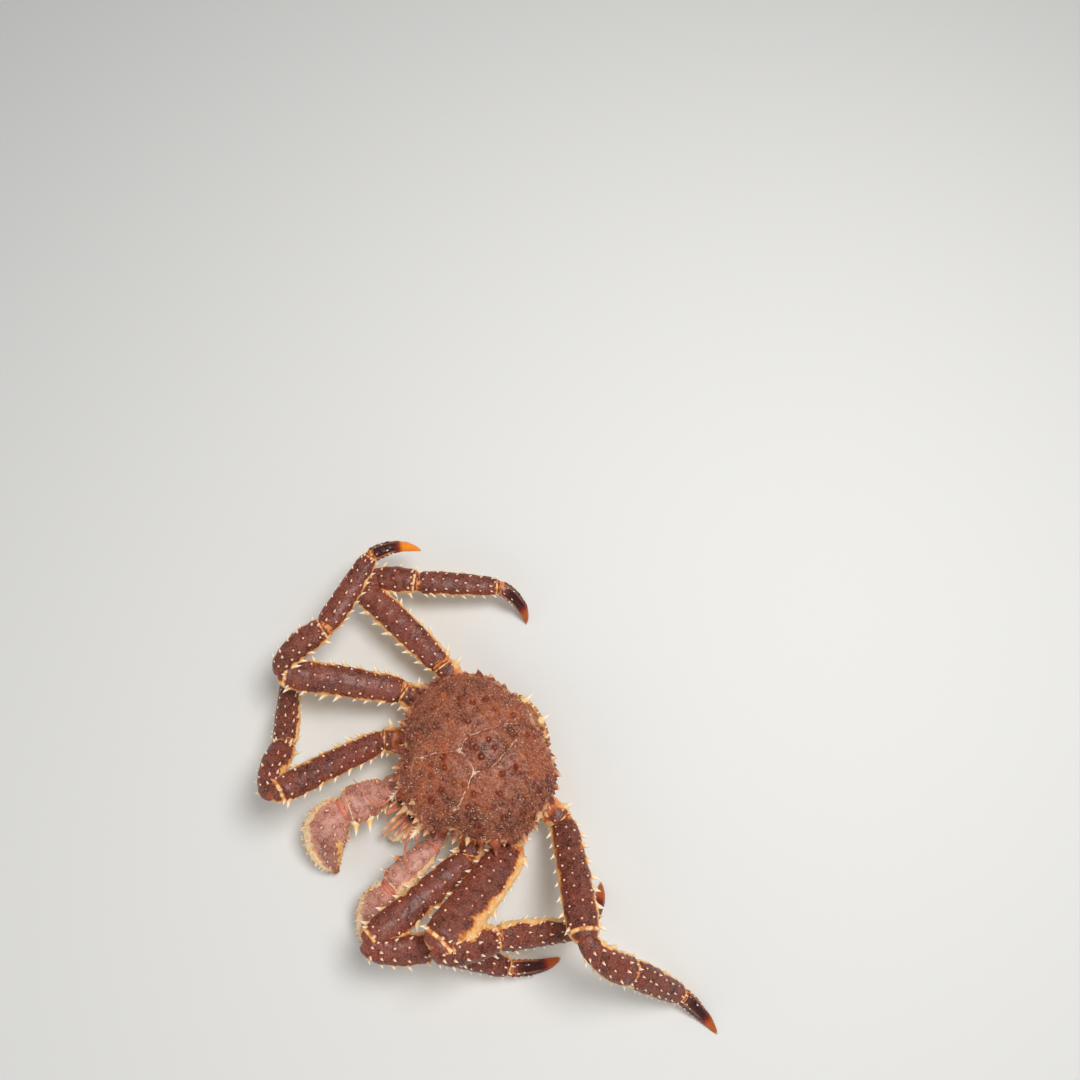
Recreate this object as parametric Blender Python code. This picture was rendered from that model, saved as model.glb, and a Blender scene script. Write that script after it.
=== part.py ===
"""A red king crab at rest, life size, one closed solid for each shell plate, limb segment, eye and feeler.

The crab faces -Y with its back up. Its left side is at +X. It rests on the flat of its folded tail and
on the tips of five walking legs, and holds the second right leg up. The origin is on the floor under the
middle of the body.
Sizes in this file are in millimetres and angles in degrees. Meshes are scaled to metres when made.
"""

import math
import random
from typing import NamedTuple

import bmesh
import bpy
import numpy as np
from mathutils import Matrix, Vector

MM = 0.001
GAP = 0.3
SEED = 41
SMOOTH_ANGLE = 40

# Shell over the body
HALF_OUTLINE = (
    (0, -78), (7, -76), (14, -71), (25, -71), (33, -63.5), (40, -54.5), (50, -47), (64, -37), (76, -23),
    (82, -8), (83, 10), (79.5, 27), (70, 45), (60, 55), (48, 62), (34, 66), (18, 68), (0, 69),
)
OUTLINE_STEPS = 12
MARGIN_Z = 56.0
DOME_RISE = 30.0
DOME_POWER = 0.75
SEAM_Z = 48.0
SHELL_SIDES = 40
SHELL_RINGS = (0.17, 0.34, 0.5, 0.65, 0.79, 0.9, 0.97)
UNDER_RINGS = ((1.0, MARGIN_Z), (0.985, 52.5), (0.93, SEAM_Z + GAP / 2))
# Raised regions of the back: x, y, half width, half length, rise. They fade out where the dome ends.
REGION_FADE = 2.0
REGIONS = (
    (0, -34, 25, 31, 6.0),
    (0, 21, 17, 24, 4.5),
    (47, 14, 28, 42, 4.0),
    (-47, 14, 28, 42, 4.0),
    (38, -40, 12, 12, 2.0),
    (-38, -40, 12, 12, 2.0),
)

# Spines of the back: spacing, length and root radius, how far out they grow, shift, range of size
BACK_SPINE_STEP = 15.5
BACK_SPINE = (4.6, 2.7)
BACK_SPINE_REACH = 0.88
BACK_SPINE_SHIFT = 2.2
BACK_SPINE_SIZES = (0.8, 1.25)
# Spines of the margin, longer in front of FRONT_Y than behind it, and of the beak
MARGIN_SPINE_STEP = 13.5
MARGIN_SPINE_START = 17.0
MARGIN_SPINE = (7.5, 2.9)
MARGIN_SPINE_SIZES = (0.8, 1.15)
MARGIN_SPINE_SINK = 0.8
FRONT_Y, FRONT_SIZE, REAR_SIZE = 10, 1.15, 0.85
ROSTRUM_Y = -74
ROSTRUM = (13.0, 5.0)
ROSTRUM_SPINE_Y = -66
ROSTRUM_SPINE = (7.0, 3.2)
SPINE_SINK = 2.2
SPINE_SIDES = 4
# Spines thinner than this at the root have three sides
SMALL_SPINE_RADIUS = 2.15

# Underside of the body: height, share of the outline's width, share of its length
THORAX_RINGS = ((12.0, 0.5, 0.6), (18.0, 0.6, 0.68), (28.0, 0.7, 0.76), (38.0, 0.8, 0.84),
                (SEAM_Z - GAP / 2, 0.9, 0.9))
THORAX_SIDES = 32

# Folded tail: the flap under the body and the plates behind it
FLAP_RINGS = ((0.0, 0.9), (3.0, 1.0), (11.7, 0.97))
FLAP_FRONT, FLAP_BACK, FLAP_HALF_WIDTH = -34.0, 66.0, 36.0
FLAP_TAPER = 0.28
FLAP_SIDES = 28
TAIL_X, TAIL_HALF_WIDTH, TAIL_Y, TAIL_Z = -3.0, 31.0, 64.0, 29.0
TAIL_STATIONS = ((0.0, 3.0, 5.0), (0.06, 5.5, 8.8), (0.2, 8.2, 13.0), (0.38, 9.6, 15.8), (0.62, 9.6, 15.8),
                 (0.8, 8.2, 13.0), (0.94, 5.5, 8.8), (1.0, 3.0, 5.0))
TAIL_BOW = 9.0
# Spines on its upper back edge, at this angle round it: place across, length, root radius
TAIL_SPINE_ANGLE = 140
TAIL_SPINES = ((0.24, 11.0, 4.8), (0.38, 4.0, 2.4), (0.62, 11.0, 4.8), (0.8, 5.0, 2.8))

# Walking legs: segment lengths in the order of SEGMENTS
SEGMENTS = ("merus", "carpus", "propodus", "dactyl")
LENGTHS = {1: (117.0, 59.0, 82.0, 52.0), 2: (120.0, 60.0, 84.0, 54.0), 3: (120.0, 60.0, 84.0, 54.0)}
COXA = {1: (40, -22, 29), 2: (46, 3, 29), 3: (44, 28, 30)}
# Where the merus starts, then the yaw and pitch of each segment. A pitch of None lets the tip reach the floor.
LEG_POSES = {
    "right_leg_1": ((-69, -62, 34), (-94, 30), (149, -38), (155, -30), (151, None)),
    "right_leg_2": ((-97, -20, 36), (-132, 16), (101, 7), (118, -6), (70, -24)),
    "right_leg_3": ((-97, 26, 36), (-168, 3), (58, 0), (53, -6), (6, None)),
    "left_leg_1": ((70, -53, 34), (-86, 20), (50, -15), (35, -30), (62, None)),
    "left_leg_2": ((87, -14, 36), (-74, 33), (60, -32), (57, -27), (114, None)),
    "left_leg_3": ((95, 38, 36), (-25, 38), (19, -32), (25, -46), (9, None)),
}
TIP_Z = 0.15
FLOOR_BLOCK = Vector((900, 900, 40))
# How broad each leg's merus looks from above, turned flat or on edge
MERUS_BREADTH = {
    "right_leg_1": 0.9, "right_leg_2": 1.05, "right_leg_3": 1.02,
    "left_leg_1": 1.0, "left_leg_2": 1.35, "left_leg_3": 1.02,
}

# Sections of a walking leg: place along the segment, half width, half thickness
STATIONS = {
    "ischium": ((0.0, 9.5, 8.5), (0.45, 10.5, 9.0), (0.8, 12.2, 10.0), (1.0, 10.5, 9.0)),
    "merus": ((0.0, 8.5, 7.2), (0.05, 11.4, 9.0), (0.2, 12.8, 9.8), (0.55, 13.8, 10.2),
              (0.86, 14.2, 10.2), (0.97, 12.4, 9.2), (1.0, 9.0, 7.2)),
    "carpus": ((0.0, 7.0, 6.4), (0.14, 9.4, 8.0), (0.4, 11.0, 9.2), (0.8, 13.0, 10.2),
               (0.95, 11.8, 9.2), (1.0, 9.0, 7.4)),
    "propodus": ((0.0, 7.8, 6.6), (0.06, 10.6, 8.4), (0.22, 12.0, 9.2), (0.6, 11.0, 8.4),
                 (0.92, 9.0, 7.0), (1.0, 6.4, 5.2)),
    "dactyl": ((0.0, 5.2, 4.8), (0.08, 7.2, 6.4), (0.35, 6.2, 5.6), (0.7, 4.2, 3.9),
               (0.92, 2.2, 2.1), (1.0, 0.8, 0.8)),
}
# Each segment leaves its joint still bearing this much of the way of the one before it
HOOK = {"ischium": 0.0, "merus": 4.0, "carpus": 15.0, "propodus": 6.0, "dactyl": 18.0}
BEND_AT = 0.35
LIMB_SIDES = 10
# How far a segment's ends bulge, as a share of its thickness there
END_BULGE = 0.35

# How far a spine of a row strays: place along, angle round, range of size
ROW_SHIFT, ROW_TURN, ROW_SIZES = 0.015, 6, (0.85, 1.15)
# Rows of spines: angle round the limb, first place, last place, count, length, root radius, lean to the tip.
# Angle 180 is the inside of the fold, 0 the outside and 90 the back.
SPINE_ROWS = {
    "ischium": ((180, 0.78, 0.78, 1, 6.0, 2.8, 0.1), (70, 0.7, 0.9, 2, 3.4, 1.9, 0.1)),
    "merus": ((180, 0.12, 0.74, 6, 6.5, 2.7, 0.45), (0, 0.14, 0.9, 6, 4.6, 2.3, 0.45),
              (135, 0.12, 0.82, 4, 3.4, 2.0, 0.3), (92, 0.2, 0.9, 4, 3.2, 1.9, 0.3),
              (48, 0.12, 0.84, 4, 3.2, 1.9, 0.3)),
    "carpus": ((0, 0.34, 0.86, 3, 4.8, 2.3, 0.5), (180, 0.62, 0.9, 2, 6.0, 2.7, 0.6),
               (62, 0.34, 0.86, 3, 3.8, 2.0, 0.4), (118, 0.44, 0.88, 3, 4.0, 2.1, 0.4)),
    "propodus": ((0, 0.14, 0.86, 5, 3.8, 1.8, 0.75), (180, 0.14, 0.86, 5, 3.8, 1.8, 0.75),
                 (66, 0.16, 0.86, 4, 2.9, 1.6, 0.6), (114, 0.12, 0.8, 3, 2.9, 1.6, 0.6)),
    "dactyl": ((20, 0.12, 0.36, 2, 3.0, 1.5, 0.9), (110, 0.14, 0.38, 2, 3.0, 1.5, 0.9)),
}

# Claw limbs, as they lie. The hand curves from the wrist by its bend to its tip, with its finger on top.
CLAW_POSES = {
    "right": {
        "coxa": (-22, -38, 24), "merus": (-23, -56, 23), "carpus": (-26, -85, 28), "wrist": (-34, -124, 43),
        "bend": (-38, -164, 34), "tip": (8, -168, 9), "finger": (-20, -149, 40), "finger_tip": (3, -166, 15),
    },
    "left": {
        "coxa": (22, -38, 24), "merus": (30, -58, 24), "carpus": (42, -76, 30), "wrist": (50, -127, 41),
        "bend": (55, -155, 30), "tip": (80, -180, 9), "finger": (61, -152, 35), "finger_tip": (77, -177, 14),
    },
}
CLAW_SCALE = {"right": 1.0, "left": 0.76}
FINGER_BOW = (0, 0, 6)
CLAW_STATIONS = {
    "ischium": ((0.0, 9.5, 8.5), (0.6, 9.5, 8.5), (1.0, 9.5, 8.5)),
    "merus": ((0.0, 8.0, 7.4), (0.15, 10.5, 8.8), (0.6, 12.5, 10.5), (0.9, 13.0, 11.0), (1.0, 10.0, 8.4)),
    "carpus": ((0.0, 10.0, 8.0), (0.15, 14.5, 10.8), (0.5, 17.0, 12.6), (0.85, 18.5, 13.0), (1.0, 13.5, 9.5)),
    "hand": ((0.0, 10.0, 9.0), (0.06, 14.0, 11.5), (0.2, 18.5, 15.0), (0.38, 22.0, 15.5), (0.5, 21.5, 12.5),
             (0.64, 18.5, 8.8), (0.8, 13.5, 7.0), (0.93, 7.5, 5.0), (1.0, 2.6, 2.4)),
    "finger": ((0.0, 8.5, 6.5), (0.2, 9.8, 8.0), (0.55, 9.0, 7.4), (0.85, 5.8, 5.2), (1.0, 2.0, 1.9)),
}
# Angle 0 is the side of the midline on a carpus, and the outer, spiny edge on a hand
CLAW_SPINE_ROWS = {
    "ischium": (),
    "merus": ((90, 0.4, 0.85, 2, 3.6, 2.1, 0.2),),
    "carpus": ((0, 0.56, 0.86, 2, 9.5, 3.8, 0.2), (180, 0.3, 0.84, 3, 3.6, 2.2, 0.3),
               (60, 0.3, 0.8, 3, 3.4, 2.1, 0.1), (105, 0.25, 0.75, 3, 3.8, 2.3, 0.1)),
    "hand": ((0, 0.14, 0.9, 11, 3.8, 2.1, 0.35), (24, 0.12, 0.84, 8, 3.2, 1.9, 0.25),
             (62, 0.12, 0.6, 4, 2.8, 1.9, 0.1), (95, 0.1, 0.5, 3, 2.8, 1.9, 0.1),
             (140, 0.1, 0.46, 3, 3.0, 1.9, 0.1), (180, 0.6, 0.9, 4, 2.8, 1.7, 0.35)),
    "finger": ((70, 0.25, 0.8, 3, 2.4, 1.5, 0.2), (125, 0.25, 0.8, 3, 2.4, 1.5, 0.2)),
}

# Head: eyes alike left and right, feelers and mouth limbs as each lies
EYE_STALK = ((7, -56, 42), (9, -78, 45.5))
EYE_STALK_RADII = (3.2, 2.2)
EYE_RADIUS = 3.4
EYE_SIDES, EYE_RINGS = 12, 8
FEELER_BASE = {"right": ((-17, -56, 42), (-17.5, -80, 46)), "left": ((17, -56, 42), (22, -84, 46))}
FEELER_SCALE = {"right": (0.05, -1, 0.12), "left": (0.3, -1, 0.1)}
FEELER_SCALE_SIZE = (17.0, 3.6)
FEELER_SCALE_AT, FEELER_SCALE_LIFT = 0.65, 2.0
FEELER_STATIONS = ((0.0, 4.4, 4.0), (0.5, 4.4, 4.0), (0.9, 3.4, 3.2), (1.0, 2.2, 2.0))
FEELER_WHIP = {
    "right": ((-17.5, -82, 46.5), (-16, -91, 51), (-18, -97.5, 58), (-26, -99.5, 63), (-37, -100, 65),
              (-50, -101.5, 63)),
    "left": ((22.5, -86, 46.5), (26, -93, 50), (33, -98, 56), (41, -101, 60), (48, -103, 60.5), (51, -110, 60)),
}
FEELER_WHIP_RADII = (1.3, 1.2, 1.0, 0.85, 0.7, 0.5)
SMALL_FEELER = {
    "right": ((-4, -56, 35), (-5, -76, 36), (-6, -88, 40), (-8, -97, 37)),
    "left": ((5, -56, 35), (8, -76, 36), (10, -88, 40), (14, -97, 38)),
}
SMALL_FEELER_RADII = (2.0, 1.7, 1.3, 0.6)
JAW_FOOT = {
    "right": ((-6, -44, 20), (-5, -66, 19), (-1, -84, 20), (3, -96, 16), (3, -99, 9)),
    "left": ((7, -44, 20), (11, -66, 20), (16, -88, 22), (15, -103, 18), (9, -109, 11)),
}
JAW_FOOT_RADII = (4.0, 4.2, 4.2, 3.2, 1.6)

# Base colour, roughness
FINISHES = {
    "shell": ((0.33, 0.12, 0.075), 0.5),
    "underside": ((0.72, 0.45, 0.22), 0.5),
    "limb": ((0.30, 0.10, 0.075), 0.5),
    "claw": ((0.36, 0.15, 0.12), 0.5),
    "tip": ((0.16, 0.02, 0.02), 0.35),
    "eye": ((0.02, 0.015, 0.015), 0.15),
    "feeler": ((0.62, 0.24, 0.16), 0.45),
}


def clear_scene():
    """Empties the scene."""
    for old in list(bpy.data.objects):
        bpy.data.objects.remove(old)


def material(slot):
    """The Principled material of a slot, made once."""
    found = bpy.data.materials.get(slot)
    if found:
        return found
    colour, roughness = FINISHES[slot]
    made = bpy.data.materials.new(slot)
    made.use_nodes = True
    shader = made.node_tree.nodes["Principled BSDF"]
    shader.inputs["Base Color"].default_value = (*colour, 1.0)
    shader.inputs["Roughness"].default_value = roughness
    shader.inputs["Metallic"].default_value = 0.0
    return made


def aim(yaw, pitch):
    """The unit vector at this yaw from +X and pitch above the floor."""
    y, p = math.radians(yaw), math.radians(pitch)
    return Vector((math.cos(p) * math.cos(y), math.cos(p) * math.sin(y), math.sin(p)))


def loft(rings, first, last):
    """A closed bmesh through rings of points, closed by a fan to the point first and one to last."""
    bm = bmesh.new()
    rows = [[bm.verts.new(p) for p in ring] for ring in rings]
    ends = (bm.verts.new(first), bm.verts.new(last))
    count = len(rings[0])
    for near, far in zip(rows, rows[1:]):
        for k in range(count):
            n = (k + 1) % count
            bm.faces.new((near[k], near[n], far[n], far[k]))
    for k in range(count):
        n = (k + 1) % count
        bm.faces.new((ends[0], rows[0][n], rows[0][k]))
        bm.faces.new((ends[1], rows[-1][k], rows[-1][n]))
    bmesh.ops.recalc_face_normals(bm, faces=bm.faces)
    return bm


class Spine(NamedTuple):
    """A cone on root, sunk into the shell under it."""

    root: Vector
    way: Vector
    length: float
    radius: float

    def solid(self, grow=0.0):
        """The closed cone, grown outward by this much."""
        bm = bmesh.new()
        length, radius = self.length + 3 * grow, self.radius + grow
        sides = SPINE_SIDES if self.radius > SMALL_SPINE_RADIUS else SPINE_SIDES - 1
        bmesh.ops.create_cone(
            bm, cap_ends=True, segments=sides, radius1=radius, radius2=0.0, depth=length + SPINE_SINK
        )
        bmesh.ops.remove_doubles(bm, verts=bm.verts, dist=1e-5)
        turn = self.way.to_track_quat("Z", "Y").to_matrix().to_4x4()
        place = Matrix.Translation(self.root + self.way * ((length - SPINE_SINK) / 2)) @ turn
        bmesh.ops.transform(bm, matrix=place, verts=bm.verts)
        return bm


def mesh_object(name, bm, collection):
    """An object in metres from a bmesh in millimetres."""
    bmesh.ops.scale(bm, vec=(MM, MM, MM), verts=bm.verts)
    bmesh.ops.triangulate(bm, faces=bm.faces)
    mesh = bpy.data.meshes.new(name)
    bm.to_mesh(mesh)
    bm.free()
    made = bpy.data.objects.new(name, mesh)
    collection.objects.link(made)
    return made


def keep_largest(mesh):
    """Drops every closed surface of the mesh but the one of most volume."""
    bm = bmesh.new()
    bm.from_mesh(mesh)
    bmesh.ops.triangulate(bm, faces=bm.faces)
    left = set(bm.faces)
    bodies = []
    while left:
        stack = [left.pop()]
        body = list(stack)
        while stack:
            for edge in stack.pop().edges:
                for face in edge.link_faces:
                    if face in left:
                        left.remove(face)
                        stack.append(face)
                        body.append(face)
        bodies.append(body)
    if len(bodies) > 1:
        volume = [abs(sum(f.verts[0].co.dot(f.verts[1].co.cross(f.verts[2].co)) for f in b)) for b in bodies]
        main = bodies[volume.index(max(volume))]
        drop = [f for b in bodies if b is not main for f in b]
        bmesh.ops.delete(bm, geom=drop, context="FACES")
        bmesh.ops.delete(bm, geom=[v for v in bm.verts if not v.link_faces], context="VERTS")
    bm.to_mesh(mesh)
    bm.free()


def add_boolean(body, operation, group):
    """One Boolean with all the objects of a collection."""
    modifier = body.modifiers.new(operation.lower(), "BOOLEAN")
    modifier.operation = operation
    modifier.operand_type = "COLLECTION"
    modifier.collection = group


def node(name, slot, solid, spines=(), cutters=()):
    """A finished solid: its body fused with its spines, then cut clear of its neighbours."""
    crab = bpy.data.collections["king_crab"]
    body = mesh_object(name, solid, crab)
    groups = []
    for operation, pieces in (("UNION", [s.solid() for s in spines]), ("DIFFERENCE", cutters)):
        if not pieces:
            continue
        group = bpy.data.collections.new(operation)
        bpy.context.scene.collection.children.link(group)
        for piece in pieces:
            mesh_object("piece", piece, group)
        add_boolean(body, operation, group)
        groups.append(group)
    graph = bpy.context.evaluated_depsgraph_get()
    mesh = bpy.data.meshes.new_from_object(body.evaluated_get(graph))
    body.modifiers.clear()
    body.data = mesh
    for group in groups:
        for piece in list(group.objects):
            bpy.data.objects.remove(piece)
        bpy.data.collections.remove(group)
    keep_largest(mesh)
    mesh.materials.clear()
    mesh.materials.append(material(slot))
    mesh.shade_smooth()
    mesh.set_sharp_from_angle(angle=math.radians(SMOOTH_ANGLE))
    return body


def floor_block():
    """A block whose top is the floor, which cuts a flat on what reaches it."""
    bm = bmesh.new()
    bmesh.ops.create_cube(bm, size=1.0)
    bmesh.ops.scale(bm, vec=FLOOR_BLOCK, verts=bm.verts)
    bmesh.ops.translate(bm, vec=(0, 0, -FLOOR_BLOCK.z / 2), verts=bm.verts)
    return bm


class Limb:
    """A limb segment: oval sections carried along an axis that leaves start along hook and runs to end."""

    def __init__(self, start, end, hook, stations, handed=1, scale=1.0, breadth=1.0):
        self.start, self.end = Vector(start), Vector(end)
        self.bend = self.start + Vector(hook)
        self.places = [s[0] for s in stations]
        self.widths = [s[1] * scale * breadth for s in stations]
        self.heights = [s[2] * scale for s in stations]
        self.handed = handed

    def axis(self, t):
        """The point at t of the quadratic curve from start by bend to end."""
        return self.start * (1 - t) ** 2 + self.bend * (2 * t * (1 - t)) + self.end * t ** 2

    def tangent(self, t):
        """The unit direction of the axis at t."""
        return ((self.bend - self.start) * (1 - t) + (self.end - self.bend) * t).normalized()

    def across(self, t):
        """The outer side and the back of the section at t."""
        ahead = self.tangent(t)
        side = ahead.cross(Vector((0, 0, 1))).normalized() * self.handed
        back = Vector((0, 0, 1)) - ahead * ahead.z
        return side, back.normalized()

    def size(self, t):
        """Half width and half thickness at t."""
        return float(np.interp(t, self.places, self.widths)), float(np.interp(t, self.places, self.heights))

    def skin(self, t, angle, grow=0.0):
        """The point of the surface at t and at this angle round the axis."""
        side, back = self.across(t)
        width, height = self.size(t)
        c, s = math.cos(angle), math.sin(angle)
        return self.axis(t) + side * ((width + grow) * c) + back * ((height + grow) * s)

    def outward(self, t, angle):
        """The surface's normal at t and angle, leaving the taper out."""
        side, back = self.across(t)
        width, height = self.size(t)
        return (side * (math.cos(angle) * height) + back * (math.sin(angle) * width)).normalized()

    def solid(self, grow=0.0):
        """The closed body, grown outward by this much."""
        angles = [2 * math.pi * k / LIMB_SIDES for k in range(LIMB_SIDES)]
        rings = [[self.skin(t, a, grow) for a in angles] for t in self.places]
        first = self.axis(0) - self.tangent(0) * (END_BULGE * self.heights[0] + grow)
        last = self.axis(1) + self.tangent(1) * (END_BULGE * self.heights[-1] + grow)
        return loft(rings, first, last)

    def spines(self, rows, chance, scale=1.0):
        """The rows of spines, each a cone that leans to the limb's tip."""
        made = []
        for angle, first, last, count, length, radius, lean in rows:
            for k in range(count):
                t = first + (last - first) * k / max(1, count - 1)
                t += chance.uniform(-ROW_SHIFT, ROW_SHIFT)
                a = math.radians(angle + chance.uniform(-ROW_TURN, ROW_TURN))
                way = (self.outward(t, a) + self.tangent(t) * lean).normalized()
                size = chance.uniform(*ROW_SIZES) * scale
                made.append(Spine(self.skin(t, a), way, length * size, radius * scale))
        return made


def outline_table():
    """The outline as angle from -Y and radius, from a smooth closed curve through the half outline's points."""
    left = [Vector((x, y)) for x, y in HALF_OUTLINE]
    loop = left + [Vector((-p.x, p.y)) for p in left[-2:0:-1]]
    count, steps = len(loop), OUTLINE_STEPS
    angles, radii = [], []
    for k in range(count):
        a, b, c, d = (loop[(k + j) % count] for j in (-1, 0, 1, 2))
        for step in range(steps):
            t = step / steps
            p = 0.5 * (2 * b + (c - a) * t + (2 * a - 5 * b + 4 * c - d) * t ** 2
                       + (3 * b - a - 3 * c + d) * t ** 3)
            angles.append(math.atan2(p.x, -p.y) % (2 * math.pi))
            radii.append(p.length)
    order = np.argsort(angles)
    return np.array(angles)[order], np.array(radii)[order]


OUTLINE_ANGLES, OUTLINE_RADII = outline_table()


def outline_radius(angle):
    """The outline's distance from the middle at this angle from -Y."""
    return float(np.interp(angle % (2 * math.pi), OUTLINE_ANGLES, OUTLINE_RADII, period=2 * math.pi))


def outline_point(angle, share, z):
    """The point at this share of the outline's radius."""
    r = outline_radius(angle) * share
    return Vector((r * math.sin(angle), -r * math.cos(angle), z))


def back_height(x, y):
    """The height of the back: a dome that falls to the margin, with its raised regions."""
    share = min(1.0, math.hypot(x, y) / outline_radius(math.atan2(x, -y)))
    dome = (1 - share * share) ** DOME_POWER
    rise = DOME_RISE * dome
    for cx, cy, half_width, half_length, bump in REGIONS:
        far = ((x - cx) / half_width) ** 2 + ((y - cy) / half_length) ** 2
        rise += bump * min(1.0, REGION_FADE * dome) / (1 + far * far)
    return MARGIN_Z + rise


def back_normal(x, y, step=1.0):
    """The unit normal of the back at x, y."""
    dx = back_height(x + step, y) - back_height(x - step, y)
    dy = back_height(x, y + step) - back_height(x, y - step)
    return Vector((-dx, -dy, 2 * step)).normalized()


def shell_solid():
    """The shell: the dome over a margin that turns in to a flat seam."""
    angles = [2 * math.pi * k / SHELL_SIDES for k in range(SHELL_SIDES)]
    rings = []
    for share in SHELL_RINGS:
        ring = [outline_point(a, share, 0) for a in angles]
        rings.append([Vector((p.x, p.y, back_height(p.x, p.y))) for p in ring])
    for share, z in UNDER_RINGS:
        rings.append([outline_point(a, share, z) for a in angles])
    return loft(rings, Vector((0, 0, back_height(0, 0))), Vector((0, 0, UNDER_RINGS[-1][1])))


def back_spines(chance):
    """Spines spread over the back on a loosened triangular grid, alike left and right."""
    made = []
    row_step = BACK_SPINE_STEP * math.sqrt(3) / 2
    reach = max(math.hypot(x, y) for x, y in HALF_OUTLINE)
    rows, columns = int(reach / row_step), int(reach / BACK_SPINE_STEP) + 1
    for row in range(-rows, rows + 1):
        shift = 0.5 if row % 2 else 0.0
        for column in range(columns):
            x, y = (column + shift) * BACK_SPINE_STEP, row * row_step
            dx, dy = (chance.uniform(-BACK_SPINE_SHIFT, BACK_SPINE_SHIFT) for _ in range(2))
            size = chance.uniform(*BACK_SPINE_SIZES)
            sides = (1, -1) if x > 0 else (1,)
            x, y = (x + dx if x > 0 else 0.0), y + dy
            if math.hypot(x, y) > BACK_SPINE_REACH * outline_radius(math.atan2(x, -y)):
                continue
            for side in sides:
                root = Vector((side * x, y, back_height(side * x, y)))
                made.append(Spine(root, back_normal(side * x, y), BACK_SPINE[0] * size, BACK_SPINE[1]))
    return made


def margin_spines(chance):
    """Sharp spines round the margin at even steps of its length, longer in front, and the beak."""
    made = []
    walk = [outline_point(math.pi * k / 360, 1.0, MARGIN_Z + 1) for k in range(361)]
    travelled, wanted = 0.0, MARGIN_SPINE_START
    for a, b in zip(walk, walk[1:]):
        travelled += (b - a).length
        if travelled < wanted:
            continue
        wanted += MARGIN_SPINE_STEP
        size = chance.uniform(*MARGIN_SPINE_SIZES) * (FRONT_SIZE if b.y < FRONT_Y else REAR_SIZE)
        for side in (1, -1):
            out = Vector((side * b.x, b.y, 0)).normalized()
            root = Vector((side * b.x, b.y, b.z)) - out * MARGIN_SPINE_SINK
            way = (out + Vector((0, -0.15, 0.3))).normalized()
            made.append(Spine(root, way, MARGIN_SPINE[0] * size, MARGIN_SPINE[1]))
    root = Vector((0, ROSTRUM_Y, MARGIN_Z + 2))
    made.append(Spine(root, Vector((0, -1, 0.15)).normalized(), *ROSTRUM))
    root = Vector((0, ROSTRUM_SPINE_Y, back_height(0, ROSTRUM_SPINE_Y)))
    made.append(Spine(root, Vector((0, -0.6, 1)).normalized(), *ROSTRUM_SPINE))
    return made


def thorax_solid(grow=0.0):
    """The body under the shell: the outline drawn in towards the belly."""
    angles = [2 * math.pi * k / THORAX_SIDES for k in range(THORAX_SIDES)]
    rings = []
    for z, wide, long in THORAX_RINGS:
        ring = []
        for a in angles:
            p = outline_point(a, 1.0, 0)
            p = Vector((p.x * wide, p.y * long, 0))
            ring.append(p + p.normalized() * grow + Vector((0, 0, z)))
        rings.append(ring)
    low, high = THORAX_RINGS[0][0] - grow, THORAX_RINGS[-1][0] + grow
    return loft(rings, Vector((0, 0, low)), Vector((0, 0, high)))


def flap_solid():
    """The folded tail's flat plate: a rounded triangle, broad at the back, with a soft lower edge."""
    middle = (FLAP_FRONT + FLAP_BACK) / 2
    half_length = (FLAP_BACK - FLAP_FRONT) / 2
    rings = []
    low, high = FLAP_RINGS[0][0], FLAP_RINGS[-1][0]
    for z, share in FLAP_RINGS:
        ring = []
        for k in range(FLAP_SIDES):
            a = 2 * math.pi * k / FLAP_SIDES
            along = -math.cos(a)
            width = FLAP_HALF_WIDTH * (1 - FLAP_TAPER + FLAP_TAPER * along)
            ring.append(Vector((share * width * math.sin(a), middle + share * half_length * along, z)))
        rings.append(ring)
    return loft(rings, Vector((0, middle, low)), Vector((0, middle, high)))


def tail_limb():
    """The tail's first plates, a rounded bar across the back of the body that curves with the shell."""
    start = Vector((TAIL_X - TAIL_HALF_WIDTH, TAIL_Y, TAIL_Z))
    end = Vector((TAIL_X + TAIL_HALF_WIDTH, TAIL_Y, TAIL_Z))
    return Limb(start, end, Vector((TAIL_HALF_WIDTH, TAIL_BOW, 0)), TAIL_STATIONS)


def make_body(chance):
    """Shell, thorax and the two tail nodes."""
    node("shell", "shell", shell_solid(), back_spines(chance) + margin_spines(chance))
    node("thorax", "underside", thorax_solid())
    node("tail_flap", "underside", flap_solid())
    tail = tail_limb()
    out = []
    for place, length, radius in TAIL_SPINES:
        angle = math.radians(TAIL_SPINE_ANGLE)
        way = (tail.outward(place, angle) + Vector((0, 1.2, 0))).normalized()
        out.append(Spine(tail.skin(place, angle), way, length, radius))
    node("tail_base", "shell", tail.solid(), out, [thorax_solid(GAP)])


def leg_limbs(name):
    """The five segments of a walking leg, from its pose."""
    pair = int(name[-1])
    handed = 1 if name.startswith("left") else -1
    start, *angles = LEG_POSES[name]
    root = Vector(COXA[pair])
    root.x *= handed
    at = Vector(start)
    limbs = {"ischium": Limb(root, at, (at - root) * 0.5, STATIONS["ischium"], handed)}
    ahead = (at - root).normalized()
    for kind, length, (yaw, pitch) in zip(SEGMENTS, LENGTHS[pair], angles):
        if pitch is None:
            pitch = math.degrees(math.asin((TIP_Z - at.z) / length))
        way = aim(yaw, pitch)
        end = at + way * length
        hook = way * (BEND_AT * length) + ahead * HOOK[kind]
        breadth = MERUS_BREADTH[name] if kind == "merus" else 1.0
        limbs[kind] = Limb(at, end, hook, STATIONS[kind], handed, breadth=breadth)
        at, ahead = end, way
    return limbs


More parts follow.
